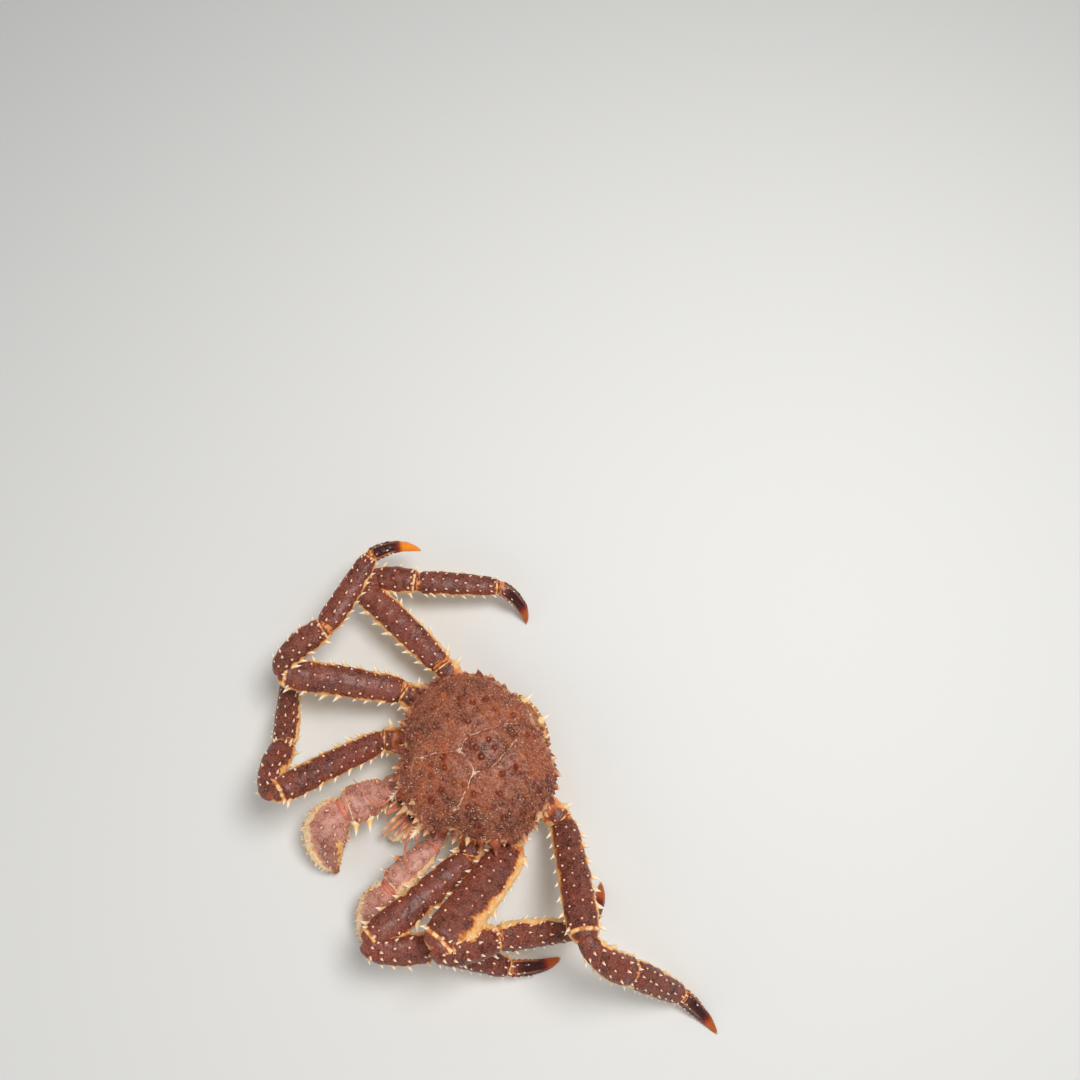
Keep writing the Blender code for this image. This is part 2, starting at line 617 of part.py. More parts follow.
def make_leg(name, chance):
    """The five nodes of a walking leg, each cut clear of the one that it grows from."""
    before = [thorax_solid(GAP)]
    for kind, limb in leg_limbs(name).items():
        slot = "tip" if kind == "dactyl" else "limb"
        if kind == "dactyl":
            before.append(floor_block())
        spines = limb.spines(SPINE_ROWS[kind], chance)
        node(f"{name}_{kind}", slot, limb.solid(), spines, before)
        before = [limb.solid(GAP)] + [spine.solid(GAP) for spine in spines]


def claw_limbs(side):
    """The segments of a claw limb. The movable finger lies on the fixed one, which is the end of the hand."""
    handed = 1 if side == "left" else -1
    at = {name: Vector(point) for name, point in CLAW_POSES[side].items()}
    scale = CLAW_SCALE[side]

    def straight(kind, first, last):
        span = at[last] - at[first]
        return Limb(at[first], at[last], span * 0.5, CLAW_STATIONS[kind], handed, scale)

    finger_hook = (at["finger_tip"] - at["finger"]) * 0.5 + Vector(FINGER_BOW)
    return {
        "ischium": straight("ischium", "coxa", "merus"),
        "merus": straight("merus", "merus", "carpus"),
        "carpus": straight("carpus", "carpus", "wrist"),
        "hand": Limb(at["wrist"], at["tip"], at["bend"] - at["wrist"], CLAW_STATIONS["hand"], 1, scale),
        "finger": Limb(at["finger"], at["finger_tip"], finger_hook, CLAW_STATIONS["finger"], 1, scale),
    }


def make_claw(side, chance):
    """The five nodes of a claw limb."""
    before = []
    for kind, limb in claw_limbs(side).items():
        spines = limb.spines(CLAW_SPINE_ROWS[kind], chance, CLAW_SCALE[side])
        if kind in ("ischium", "merus"):
            before.append(thorax_solid(GAP))
        node(f"{side}_claw_{kind}", "claw", limb.solid(), spines, before + [floor_block()])
        before = [limb.solid(GAP)] + [spine.solid(GAP) for spine in spines]


def tube(name, slot, points, radii, cutters):
    """A feeler or mouth limb: a round-sectioned curve through the points, tapering, made a mesh and cut."""
    curve = bpy.data.curves.new(name, "CURVE")
    curve.dimensions = "3D"
    curve.bevel_depth = MM
    curve.bevel_resolution = 1
    curve.resolution_u = 2
    curve.use_fill_caps = True
    line = curve.splines.new("NURBS")
    line.points.add(len(points) - 1)
    for spot, p, r in zip(line.points, points, radii):
        spot.co = (p[0] * MM, p[1] * MM, p[2] * MM, 1.0)
        spot.radius = r
    line.use_endpoint_u = True
    line.order_u = 3
    guide = bpy.data.objects.new(name + "_guide", curve)
    bpy.context.scene.collection.objects.link(guide)
    graph = bpy.context.evaluated_depsgraph_get()
    mesh = bpy.data.meshes.new_from_object(guide.evaluated_get(graph))
    bpy.data.objects.remove(guide)
    bm = bmesh.new()
    bm.from_mesh(mesh)
    bpy.data.meshes.remove(mesh)
    bmesh.ops.remove_doubles(bm, verts=bm.verts, dist=1e-6)
    bmesh.ops.recalc_face_normals(bm, faces=bm.faces)
    bmesh.ops.scale(bm, vec=(1 / MM,) * 3, verts=bm.verts)
    return node(name, slot, bm, (), cutters)


def make_head(side):
    """Eye, stalk, feelers and mouth limb of one side."""
    sign = 1 if side == "left" else -1
    root, eye = (Vector((sign * x, y, z)) for x, y, z in EYE_STALK)
    thick, thin = EYE_STALK_RADII
    tube(f"{side}_eye_stalk", "underside", [root, root.lerp(eye, 0.5), eye],
         (thick, (thick + thin) / 2, thin), [thorax_solid(GAP), ball(eye, EYE_RADIUS + GAP)])
    node(f"{side}_eye", "eye", ball(eye, EYE_RADIUS))
    base, tip = (Vector(p) for p in FEELER_BASE[side])
    stem = Limb(base, tip, (tip - base) * 0.5, FEELER_STATIONS)
    root = base.lerp(tip, FEELER_SCALE_AT) + Vector((0, 0, FEELER_SCALE_LIFT))
    scale = Spine(root, Vector(FEELER_SCALE[side]).normalized(), *FEELER_SCALE_SIZE)
    node(f"{side}_feeler_base", "feeler", stem.solid(), [scale], [thorax_solid(GAP)])
    tube(f"{side}_feeler_whip", "feeler", FEELER_WHIP[side], FEELER_WHIP_RADII,
         [stem.solid(GAP), scale.solid(GAP)])
    tube(f"{side}_small_feeler", "feeler", SMALL_FEELER[side], SMALL_FEELER_RADII, [thorax_solid(GAP)])
    tube(f"{side}_jaw_foot", "feeler", JAW_FOOT[side], JAW_FOOT_RADII, [thorax_solid(GAP)])


def ball(centre, radius):
    """A small sphere."""
    bm = bmesh.new()
    bmesh.ops.create_uvsphere(bm, u_segments=EYE_SIDES, v_segments=EYE_RINGS, radius=radius)
    bmesh.ops.translate(bm, vec=centre, verts=bm.verts)
    return bm


def main():
    clear_scene()
    crab = bpy.data.collections.new("king_crab")
    bpy.context.scene.collection.children.link(crab)
    chance = random.Random(SEED)
    make_body(chance)
    for name in LEG_POSES:
        make_leg(name, chance)
    for side in ("right", "left"):
        make_claw(side, chance)
        make_head(side)


main()
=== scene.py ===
"""The looks of a red king crab, life size, as fine surfaces: shell, limbs, claws, feelers and tail.

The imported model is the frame. The crab faces -Y with its left side at +X and rests on the floor at Z = 0.
Sizes and places are in millimetres and angles in degrees, and a mesh is scaled to metres when it is made.
Every shape is a function of two parameters on a grid, worked out as whole arrays.
"""

import math
from typing import NamedTuple

import bpy
import numpy as np
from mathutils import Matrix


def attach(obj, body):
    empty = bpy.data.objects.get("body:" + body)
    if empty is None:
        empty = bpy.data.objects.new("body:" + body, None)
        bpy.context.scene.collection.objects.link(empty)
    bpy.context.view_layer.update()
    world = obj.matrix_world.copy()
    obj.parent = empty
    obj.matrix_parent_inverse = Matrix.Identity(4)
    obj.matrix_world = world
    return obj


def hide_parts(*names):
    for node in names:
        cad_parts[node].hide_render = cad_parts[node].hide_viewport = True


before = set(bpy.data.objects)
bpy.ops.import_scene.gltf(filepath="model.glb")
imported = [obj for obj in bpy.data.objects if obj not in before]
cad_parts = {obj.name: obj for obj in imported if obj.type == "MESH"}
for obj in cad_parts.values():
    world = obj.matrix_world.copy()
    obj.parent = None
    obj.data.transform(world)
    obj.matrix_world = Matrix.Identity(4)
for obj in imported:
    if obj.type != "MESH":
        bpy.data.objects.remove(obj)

MM = 0.001
TURN = 2 * math.pi
UP = np.array((0.0, 0.0, 1.0))
# Samples in a soft step between stations, and sine waves in a ripple
SMOOTH_STEPS = 9
WAVES = 9
# Points whose distances are measured together
CHUNK = 20000
# Spines and grains keep this far above the floor
FLOOR_CLEAR = 0.4
# The dome on the end of a segment: share of the end's size, step as a share of the limb's thickness
END_DOME = ((0.94, 0.12), (0.78, 0.25), (0.5, 0.33), (0.25, 0.355))
TOP_RIDGE = math.radians(62)
# Segments with nothing after them, and the lip, the dip before it and the pale rim that end the others
FREE_ENDS = ("hand", "finger", "dactyl")
LIP_AT, LIP_WIDTH = 0.972, 0.014
DIP_AT, DIP_WIDTH = 0.938, 0.012
RIM_START, RIM_FULL, RIM_END = 0.96, 0.97, 0.99
# How red a segment is where it starts
START_REDNESS = {"dactyl": 0.8, "merus": 0.6, "hand": 0.6}
START_REDNESS_ELSEWHERE = 0.15
# The orange skin of a leg's root: how far along it reaches, and its pleats
MEMBRANE_END, MEMBRANE_PLEATS = 0.8, 8
# Rows and columns of a joint's skin, and how wide a joint is on a tube as a share of its length
SLEEVE_ROWS, SLEEVE_SIDES = 42, 60
TUBE_JOINT = 0.018

# Shell: half outline, as in the solids, from the beak round the left side to the middle of the back
HALF_OUTLINE = (
    (0, -78), (7, -76), (14, -71), (25, -71), (33, -63.5), (40, -54.5), (50, -47), (64, -37), (76, -23),
    (82, -8), (83, 10), (79.5, 27), (70, 45), (60, 55), (48, 62), (34, 66), (18, 68), (0, 69),
)
OUTLINE_STEPS = 12
MARGIN_Z = 56.0
SEAM_Z = 48.0
GAP = 0.3
DOME_RISE = 30.0
DOME_POWER = 0.75
SHELL_SIDES, SHELL_RINGS = 600, 150
# Raised regions of the back: x, y, half width, half length, rise
REGIONS = (
    (0, -34, 25, 31, 6.0), (0, 21, 17, 24, 4.5), (47, 14, 28, 42, 4.0), (-47, 14, 28, 42, 4.0),
    (38, -40, 12, 12, 2.0), (-38, -40, 12, 12, 2.0),
)
REGION_FADE = 2.0
# Grooves of one half of the back, which are mirrored, and the pits on them: x, y, radius
GROOVES = (
    ((28, -37), (25.5, -28), (20, -18), (12.5, -4.5), (16.5, 5),
     (17.5, 12), (15.5, 21), (13, 31), (10, 41), (4, 53)),
    ((12.5, -4.5), (7, -2.4), (0, -2.2)),
    ((28, -37), (31, -43), (26, -50), (18, -55)),
    ((17.5, 12), (30, 20), (44, 34), (50, 46)),
)
GROOVE_DEPTHS = (1.5, 1.2, 0.6, 0.35)
GROOVE_LINES = (0.9, 0.8, 0.35, 0.0)
GROOVE_WIDTH = 1.7
GROOVE_LINE_WIDTH = 0.42
PITS = ((12.8, -4.6, 2.6), (28, -37, 2.2), (8.5, 44, 1.3))
# Large spines of one half of the back, by the regions that carry them
MAIN_SPINES = (
    (0, -61), (8, -49), (7.5, -36), (7.4, -24), (15, -18.5), (24.5, -43), (27, -52), (17, -33),
    (3.8, 9), (4.5, 23.5), (3, 36), (25.5, -14.5), (39.5, 4.5), (44, -11), (60, -3), (53.5, 22.5),
    (28, 15.5), (43.5, 30), (25, 44.5), (40, 41), (33, -26), (50, -27), (66, 12), (30, 31),
    (60, 36), (12, 56),
)
# Length and root radius of the large and small spines, and how wide the shell swells under them
MAIN_SPINE, MINOR_SPINE = (4.2, 2.7), (1.5, 1.0)
MAIN_SWELL, MINOR_SWELL, MAIN_BOSS = 3.6, 1.7, 3.4
MINOR_SPINE_STEP = 9.0
MINOR_SPINE_CLEAR = 6.0
BACK_GRAINS, RIM_GRAINS = 2200, 520
STAIN_STRENGTH, STAIN_SIZE = (0.2, 0.95), (2.9, 5.4)
# Height and radius of a grain, whose proportions all grains keep
GRAIN = (0.42, 0.5)
MARGIN_SPINE_STEP = 6.7
MARGIN_SPINE_START = 10.0
MARGIN_SPINE = (8.4, 4.9)
# The beak and the spines round its root: place, direction, length, radius. The last takes the back's height.
BEAK = (
    ((0, -74, 58.0), (0, -1, 0.15), 13.0, 4.6),
    ((3.5, -71.5, 59.0), (0.3, -1, 0.5), 7.5, 2.6),
    ((-3.5, -71.5, 59.0), (-0.3, -1, 0.5), 7.0, 2.6),
    ((0, -66, 0), (0, -0.6, 1), 7.0, 3.0),
)
# The side of the shell below its margin: share of the outline, height. Grains stand on its upper part.
SHELL_FLOOR_Z = SEAM_Z + GAP / 2
RIM_TOP_Z, RIM_LOW_Z, RIM_LOW_SHARE = 54.6, 51.5, 0.98
SHELL_SIDE = (
    (1.0, RIM_TOP_Z), (0.995, 53.2), (RIM_LOW_SHARE, RIM_LOW_Z), (0.955, 49.6), (0.93, SHELL_FLOOR_Z),
    (0.5, SHELL_FLOOR_Z),
)

# Underside of the body and the folded tail, as in the solids
THORAX_RINGS = ((12.0, 0.5, 0.6), (18.0, 0.6, 0.68), (28.0, 0.7, 0.76), (38.0, 0.8, 0.84),
                (SEAM_Z - GAP / 2, 0.9, 0.9))
FLAP_RINGS = ((0.0, 0.9), (1.2, 0.97), (3.0, 1.0), (9.0, 1.0), (11.7, 0.95))
FLAP_FRONT, FLAP_BACK, FLAP_HALF_WIDTH, FLAP_TAPER = -34.0, 66.0, 36.0, 0.28
FLAP_PLATES, FLAP_NODULES, FLAP_FOLD = 5, 320, 6.2
# Rows and columns of the grids
THORAX_GRID, FLAP_GRID, TAIL_GRID = (60, 260), (40, 300), (130, 240)
TAIL_X, TAIL_HALF_WIDTH, TAIL_Y, TAIL_Z = -3.0, 31.0, 64.0, 29.0
TAIL_STATIONS = ((0.0, 3.0, 5.0), (0.06, 5.5, 8.8), (0.2, 8.2, 13.0), (0.38, 9.6, 15.8), (0.62, 9.6, 15.8),
                 (0.8, 8.2, 13.0), (0.94, 5.5, 8.8), (1.0, 3.0, 5.0))
TAIL_BOW = 9.0
TAIL_SPINE_ANGLE = 140
# Degrees by which the plates' edges bend in the middle, and the grains with the angles they stand between
EDGE_BEND = 5
TAIL_GRAINS, TAIL_GRAIN_ANGLES = 320, (60, 260)
PLATE_EDGES = (62, 102, 142, 180, 218, 256)
PLATE_STEP = 1.5
PLATE_SPINES = 9
TAIL_SPINES = ((0.1, 3.0, 2.2), (0.24, 11.0, 4.8), (0.38, 4.0, 2.4), (0.5, 3.0, 2.0), (0.62, 11.0, 4.8),
               (0.74, 3.5, 2.2), (0.86, 5.0, 2.8))

# Walking legs, posed as in the solids
SEGMENTS = ("merus", "carpus", "propodus", "dactyl")
LENGTHS = {1: (117.0, 59.0, 82.0, 52.0), 2: (120.0, 60.0, 84.0, 54.0), 3: (120.0, 60.0, 84.0, 54.0)}
COXA = {1: (40, -22, 29), 2: (46, 3, 29), 3: (44, 28, 30)}
LEG_POSES = {
    "right_leg_1": ((-69, -62, 34), (-94, 30), (149, -38), (155, -30), (151, None)),
    "right_leg_2": ((-97, -20, 36), (-132, 16), (101, 7), (118, -6), (70, -24)),
    "right_leg_3": ((-97, 26, 36), (-168, 3), (58, 0), (53, -6), (6, None)),
    "left_leg_1": ((70, -53, 34), (-86, 20), (50, -15), (35, -30), (62, None)),
    "left_leg_2": ((87, -14, 36), (-74, 33), (60, -32), (57, -27), (114, None)),
    "left_leg_3": ((95, 38, 36), (-25, 38), (19, -32), (25, -46), (9, None)),
}
TIP_Z = 0.15
MERUS_BREADTH = {
    "right_leg_1": 0.9, "right_leg_2": 1.05, "right_leg_3": 1.02,
    "left_leg_1": 1.0, "left_leg_2": 1.35, "left_leg_3": 1.02,
}
STATIONS = {
    "ischium": ((0.0, 9.5, 8.5), (0.45, 10.5, 9.0), (0.8, 12.2, 10.0), (1.0, 10.5, 9.0)),
    "merus": ((0.0, 8.5, 7.2), (0.05, 11.4, 9.0), (0.2, 12.8, 9.8), (0.55, 13.8, 10.2),
              (0.86, 14.2, 10.2), (0.97, 12.4, 9.2), (1.0, 9.0, 7.2)),
    "carpus": ((0.0, 7.0, 6.4), (0.14, 9.4, 8.0), (0.4, 11.0, 9.2), (0.8, 13.0, 10.2),
               (0.95, 11.8, 9.2), (1.0, 9.0, 7.4)),
    "propodus": ((0.0, 7.8, 6.6), (0.06, 10.6, 8.4), (0.22, 12.0, 9.2), (0.6, 11.0, 8.4),
                 (0.92, 9.0, 7.0), (1.0, 6.4, 5.2)),
    "dactyl": ((0.0, 5.2, 4.8), (0.08, 7.2, 6.4), (0.35, 6.2, 5.6), (0.7, 4.2, 3.9),
               (0.92, 2.2, 2.1), (1.0, 0.8, 0.8)),
}
# A segment's bend: millimetres that it carries on the way of the segment before, at this share of its length
HOOK = {"merus": 4.0, "carpus": 15.0, "propodus": 6.0, "dactyl": 18.0}
BEND_AT = 0.35
# The power that makes a section squarer than an ellipse
SQUARENESS = 0.86
# Grid of a segment: rows along it and columns round it
GRIDS = {"ischium": (44, 60), "merus": (150, 84), "carpus": (84, 80), "propodus": (110, 72),
         "dactyl": (96, 48), "hand": (130, 110), "finger": (70, 60)}
# Rows of spines: angle round the limb, first place, last place, count, length, root radius, lean to the tip.
# Angle 180 is the inside of the fold, 0 the outside, 90 the back and -90 the underside.
SPINE_ROWS = {
    "ischium": ((180, 0.5, 0.86, 2, 9.0, 4.2, 0.2), (0, 0.5, 0.88, 2, 7.0, 3.6, 0.2),
                (70, 0.45, 0.9, 3, 3.0, 1.6, 0.1), (120, 0.5, 0.88, 2, 2.6, 1.5, 0.1),
                (-60, 0.5, 0.9, 2, 3.0, 1.6, 0.2), (-120, 0.5, 0.9, 2, 3.0, 1.6, 0.2)),
    "merus": ((178, 0.07, 0.93, 8, 7.4, 3.4, 0.55), (2, 0.08, 0.94, 8, 6.4, 3.1, 0.6),
              (184, 0.13, 0.86, 6, 3.4, 1.7, 0.5), (-4, 0.14, 0.88, 6, 3.2, 1.6, 0.5),
              (136, 0.09, 0.92, 9, 2.3, 1.5, 0.25), (92, 0.14, 0.90, 8, 2.2, 1.5, 0.25),
              (50, 0.09, 0.92, 9, 2.4, 1.5, 0.25), (-32, 0.12, 0.9, 7, 2.6, 1.5, 0.5),
              (-90, 0.15, 0.9, 6, 2.0, 1.3, 0.4), (-148, 0.12, 0.9, 7, 2.6, 1.5, 0.5),
              (152, 0.955, 0.955, 1, 5.4, 2.4, 0.7), (90, 0.96, 0.96, 1, 4.6, 2.1, 0.8),
              (28, 0.955, 0.955, 1, 5.0, 2.3, 0.7)),
    "carpus": ((0, 0.22, 0.93, 5, 5.6, 2.4, 0.6), (180, 0.3, 0.94, 4, 6.6, 2.7, 0.7),
               (54, 0.22, 0.92, 5, 3.4, 1.7, 0.5), (92, 0.18, 0.94, 5, 3.2, 1.7, 0.5),
               (130, 0.26, 0.92, 5, 3.4, 1.7, 0.5), (-40, 0.3, 0.9, 4, 2.6, 1.4, 0.5),
               (-130, 0.3, 0.9, 4, 2.6, 1.4, 0.5), (112, 0.95, 0.95, 1, 4.4, 2.0, 0.9),
               (68, 0.95, 0.95, 1, 4.2, 2.0, 0.9)),
    "propodus": ((0, 0.10, 0.94, 8, 5.0, 1.9, 1.0), (180, 0.10, 0.94, 8, 5.0, 1.9, 1.0),
                 (48, 0.12, 0.92, 7, 3.0, 1.4, 0.9), (90, 0.08, 0.9, 7, 3.0, 1.4, 0.9),
                 (132, 0.12, 0.92, 7, 3.0, 1.4, 0.9), (-40, 0.14, 0.9, 6, 2.6, 1.3, 0.9),
                 (-90, 0.14, 0.9, 6, 2.2, 1.2, 0.9), (-140, 0.14, 0.9, 6, 2.6, 1.3, 0.9),
                 (110, 0.955, 0.955, 1, 3.6, 1.6, 1.1), (70, 0.955, 0.955, 1, 3.6, 1.6, 1.1)),
    "dactyl": ((14, 0.07, 0.36, 4, 3.6, 1.2, 1.5), (70, 0.1, 0.2, 2, 2.6, 1.1, 1.5),
               (118, 0.08, 0.26, 2, 2.6, 1.1, 1.5), (166, 0.08, 0.36, 4, 3.4, 1.2, 1.5),
               (-60, 0.1, 0.3, 2, 2.4, 1.0, 1.5), (-120, 0.1, 0.3, 2, 2.4, 1.0, 1.5)),
}
# The far rim of a leg's root joint, standing out round the ischium: place, share of its size
COLLAR = (
    (0.12, 0.9), (0.2, 1.2), (0.32, 1.32), (0.44, 1.3), (0.52, 1.26), (0.55, 1.14), (0.53, 0.95), (0.48, 0.8),
)
# The skin of a leg's four joints, from the root outwards: how orange it is, and its size
JOINT_REDNESS = (0.5, 0.15, 0.5, 0.55)
JOINT_SIZE = (1.0, 0.86, 1.0, 1.0)
COLLAR_SPINES = ((150, 4.6, 2.3), (112, 3.6, 1.9), (68, 3.6, 1.9), (30, 4.2, 2.1), (-30, 3.4, 1.8))
LIMB_GRAINS = {"ischium": 60, "merus": 260, "carpus": 130, "propodus": 150, "dactyl": 20}
# How far up its sides a segment's underside is pale, as sines of the angle: fully pale, and not at all
PALE_RISE = {"ischium": (0.35, 0.8), "merus": (0.04, 0.58), "carpus": (0.12, 0.45), "propodus": (0.05, 0.32),
             "dactyl": (-0.2, 0.15), "hand": (-0.2, 0.15), "finger": (-0.3, 0.2)}
# The share of the walking tip's end that is amber
AMBER = {"right_leg_2": 1.0}
AMBER_ELSEWHERE = 0.3
# Degrees by which the pale underside of a limb is turned up on its hind or outer side
PALE_TURN = {
    "left_leg_2": 32, "left_leg_1": 8, "right_leg_1": 8, "left_claw_carpus": 36, "left_claw_merus": 20,
}
# How far chance moves a spine along its row and turns it round the limb, and the range of its size
ROW_SHIFT, ROW_TURN, ROW_SIZES = 0.014, 9, (0.65, 1.3)

# Claw limbs, posed as in the solids
CLAW_POSES = {
    "right": {
        "coxa": (-22, -38, 24), "merus": (-23, -56, 23), "carpus": (-26, -85, 28), "wrist": (-34, -124, 43),
        "bend": (-38, -164, 34), "tip": (8, -168, 9), "finger": (-20, -149, 40), "finger_tip": (3, -166, 15),
    },
    "left": {
        "coxa": (22, -38, 24), "merus": (30, -58, 24), "carpus": (42, -76, 30), "wrist": (50, -127, 41),
        "bend": (55, -155, 30), "tip": (80, -180, 9), "finger": (61, -152, 35), "finger_tip": (77, -177, 14),
    },
}
CLAW_SCALE = {"right": 1.0, "left": 0.76}
FINGER_BOW = (0, 0, 6)
CLAW_STATIONS = {
    "ischium": ((0.0, 9.5, 8.5), (0.6, 9.5, 8.5), (1.0, 9.5, 8.5)),
    "merus": ((0.0, 8.0, 7.4), (0.15, 10.5, 8.8), (0.6, 12.5, 10.5), (0.9, 13.0, 11.0), (1.0, 10.0, 8.4)),
    "carpus": ((0.0, 10.0, 8.0), (0.15, 14.5, 10.8), (0.5, 17.0, 12.6), (0.85, 18.5, 13.0), (1.0, 13.5, 9.5)),
    "hand": ((0.0, 10.0, 9.0), (0.06, 14.0, 11.5), (0.2, 18.5, 15.0), (0.38, 22.0, 15.5), (0.5, 21.5, 12.5),
             (0.64, 18.5, 8.8), (0.8, 13.5, 7.0), (0.93, 7.0, 4.7), (1.0, 1.4, 1.4)),
    "finger": ((0.0, 8.5, 6.5), (0.2, 9.8, 8.0), (0.55, 9.0, 7.4), (0.85, 5.6, 5.0), (1.0, 1.2, 1.2)),
}
CLAW_SPINE_ROWS = {
    "ischium": ((90, 0.3, 0.8, 2, 2.4, 1.3, 0.1),),
    "merus": ((90, 0.3, 0.9, 3, 3.6, 1.8, 0.2), (50, 0.2, 0.9, 4, 2.4, 1.4, 0.2),
              (130, 0.2, 0.9, 4, 2.4, 1.4, 0.2)),
    "carpus": ((2, 0.6, 0.9, 2, 11.5, 4.6, 0.25), (0, 0.2, 0.42, 2, 4.5, 2.3, 0.2),
               (180, 0.14, 0.94, 8, 3.0, 1.7, 0.3), (34, 0.3, 0.86, 3, 3.4, 1.8, 0.2),
               (66, 0.2, 0.84, 3, 3.2, 1.9, 0.1), (98, 0.3, 0.94, 3, 3.2, 1.8, 0.1),
               (130, 0.2, 0.88, 4, 3.0, 1.7, 0.1), (156, 0.18, 0.9, 6, 2.2, 1.3, 0.1),
               (-60, 0.2, 0.9, 5, 2.2, 1.3, 0.1), (-110, 0.2, 0.9, 5, 2.2, 1.3, 0.1)),
    "hand": ((0, 0.08, 0.95, 24, 4.2, 1.7, 0.35), (11, 0.10, 0.93, 17, 3.2, 1.5, 0.3),
             (24, 0.10, 0.88, 12, 2.8, 1.5, 0.25), (44, 0.1, 0.8, 6, 2.8, 1.7, 0.15),
             (64, 0.14, 0.52, 3, 2.6, 1.7, 0.1), (88, 0.1, 0.46, 3, 2.8, 1.8, 0.1),
             (110, 0.18, 0.5, 3, 2.2, 1.5, 0.1), (134, 0.1, 0.44, 3, 2.6, 1.7, 0.1),
             (158, 0.14, 0.52, 4, 2.4, 1.5, 0.1), (180, 0.12, 0.52, 6, 3.0, 1.6, 0.2),
             (180, 0.56, 0.94, 9, 2.2, 1.2, 0.3), (-20, 0.12, 0.9, 9, 3.0, 1.5, 0.3),
             (-48, 0.12, 0.9, 6, 2.2, 1.4, 0.2), (-90, 0.15, 0.8, 4, 1.6, 1.3, 0.1),
             (-140, 0.15, 0.8, 4, 1.8, 1.3, 0.1)),
    "finger": ((20, 0.16, 0.84, 6, 2.2, 1.3, 0.3), (70, 0.14, 0.84, 4, 2.4, 1.4, 0.2),
               (116, 0.1, 0.86, 4, 2.2, 1.4, 0.2), (165, 0.16, 0.84, 6, 2.2, 1.3, 0.3)),
}
CLAW_GRAINS = {"ischium": 30, "merus": 60, "carpus": 260, "hand": 520, "finger": 90}
# The share of a limb's spines that are dull red knobs without a white point
DULL_SHARE, CLAW_DULL_SHARE, DULL_RADIUS = 0.06, 0.3, 2.4

# Head, placed as in the solids
EYE_STALK = ((7, -56, 42), (9, -78, 45.5))
EYE_STALK_RADII = (3.2, 2.2)
EYE_RADIUS = 3.4
FEELER_BASE = {"right": ((-17, -56, 42), (-17.5, -80, 46)), "left": ((17, -56, 42), (22, -84, 46))}
FEELER_SCALE = {"right": (0.05, -1, 0.12), "left": (0.3, -1, 0.1)}
FEELER_SCALE_SIZE = (17.0, 3.6)
FEELER_SCALE_AT, FEELER_SCALE_LIFT = 0.65, 2.0
FEELER_BARBS = (0.2, 0.4, 0.6)
FEELER_WHIP = {
    "right": ((-17.5, -82, 46.5), (-16, -91, 51), (-18, -97.5, 58), (-26, -99.5, 63), (-37, -100, 65),
              (-50, -101.5, 63)),
    "left": ((22.5, -86, 46.5), (26, -93, 50), (33, -98, 56), (41, -101, 60), (48, -103, 60.5),
             (51, -110, 60)),
}
FEELER_WHIP_RADII = (1.3, 1.2, 1.0, 0.85, 0.7, 0.5)
SMALL_FEELER = {
    "right": ((-4, -56, 35), (-5, -76, 36), (-6, -88, 40), (-8, -97, 37)),
    "left": ((5, -56, 35), (8, -76, 36), (10, -88, 40), (14, -97, 38)),
}
SMALL_FEELER_RADII = (2.0, 1.7, 1.3, 0.6)
JAW_FOOT = {
    "right": ((-6, -44, 20), (-5, -66, 19), (-1, -84, 20), (3, -96, 16), (3, -99, 9)),
    "left": ((7, -44, 20), (11, -66, 20), (16, -88, 22), (15, -103, 18), (9, -109, 11)),
}
JAW_FOOT_RADII = (4.0, 4.2, 4.2, 3.2, 1.6)
# Palps of the mouth: path, thickness, paleness, length of the hair, which is short over the claws
PALPS = (
    (((-2, -56, 30), (-2, -76, 35), (0, -95, 33), (2, -109, 24)), 2.3, 0.9, 4.2),
    (((3, -56, 27), (4, -80, 32), (6, -99, 30), (6, -113, 20)), 2.2, 0.5, 4.2),
    (((8, -56, 31), (10, -80, 35), (12, -95, 33), (13, -106, 26)), 2.0, 0.9, 4.2),
    (((13, -56, 30), (16, -78, 34), (19, -92, 33), (21, -100, 27)), 2.9, 1.0, 4.2),
    (((-8, -56, 31), (-9, -76, 35), (-9, -91, 34), (-8, -102, 27)), 2.0, 0.4, 1.9),
    (((-11.5, -56, 33.5), (-12, -73, 37.5), (-12, -84, 38.6), (-11.5, -91, 38)), 2.2, 0.9, 1.8),
    (((18, -56, 32), (22, -72, 35), (26, -82, 35), (29, -88, 31)), 1.8, 0.3, 3.0),
    (((-15, -50, 33), (-15.5, -66, 37.9), (-16, -79, 40.2), (-16.5, -86, 40.5)), 1.7, 0.8, 1.2),
)

# Plates round the mouth, on the left side: path, radii, flatness, number of spines
FACE_PLATES = (
    (((34, -44, 34), (28, -56, 38), (19, -64, 37), (11, -66, 33)), (3.0, 4.6, 4.2, 2.2), 0.7, 4),
    (((30, -42, 25), (24, -55, 28), (15, -63, 26), (9, -65, 22)), (3.0, 4.4, 3.8, 2.0), 0.8, 3),
    (((11, -52, 37), (12, -62, 38), (13, -70, 38)), (4.2, 4.4, 2.6), 0.9, 2),
    (((2, -50, 43), (3, -62, 44), (4, -70, 45)), (3.0, 3.2, 1.8), 0.9, 1),
)

# Camera, fitted to the photograph: a tilt from straight down and a turn about the vertical
CAMERA_AT = (73.0, 26.9, 922.0)
CAMERA_TILT, CAMERA_TURN = 17.0, 55.0
PHOTO_SIDE, PHOTO_FOCAL, SENSOR = 1080, 881.0, 36.0
# Soft lights: place in metres, size, power
LIGHTS = (
    ("key", (0.05, 0.6, 1.55), 0.6, 19.5),
    ("fill", (1.2, -0.5, 1.0), 1.5, 4.5),
    ("front", (-0.4, -1.3, 0.7), 1.3, 3.5),
)
SKY_STRENGTH = 0.33

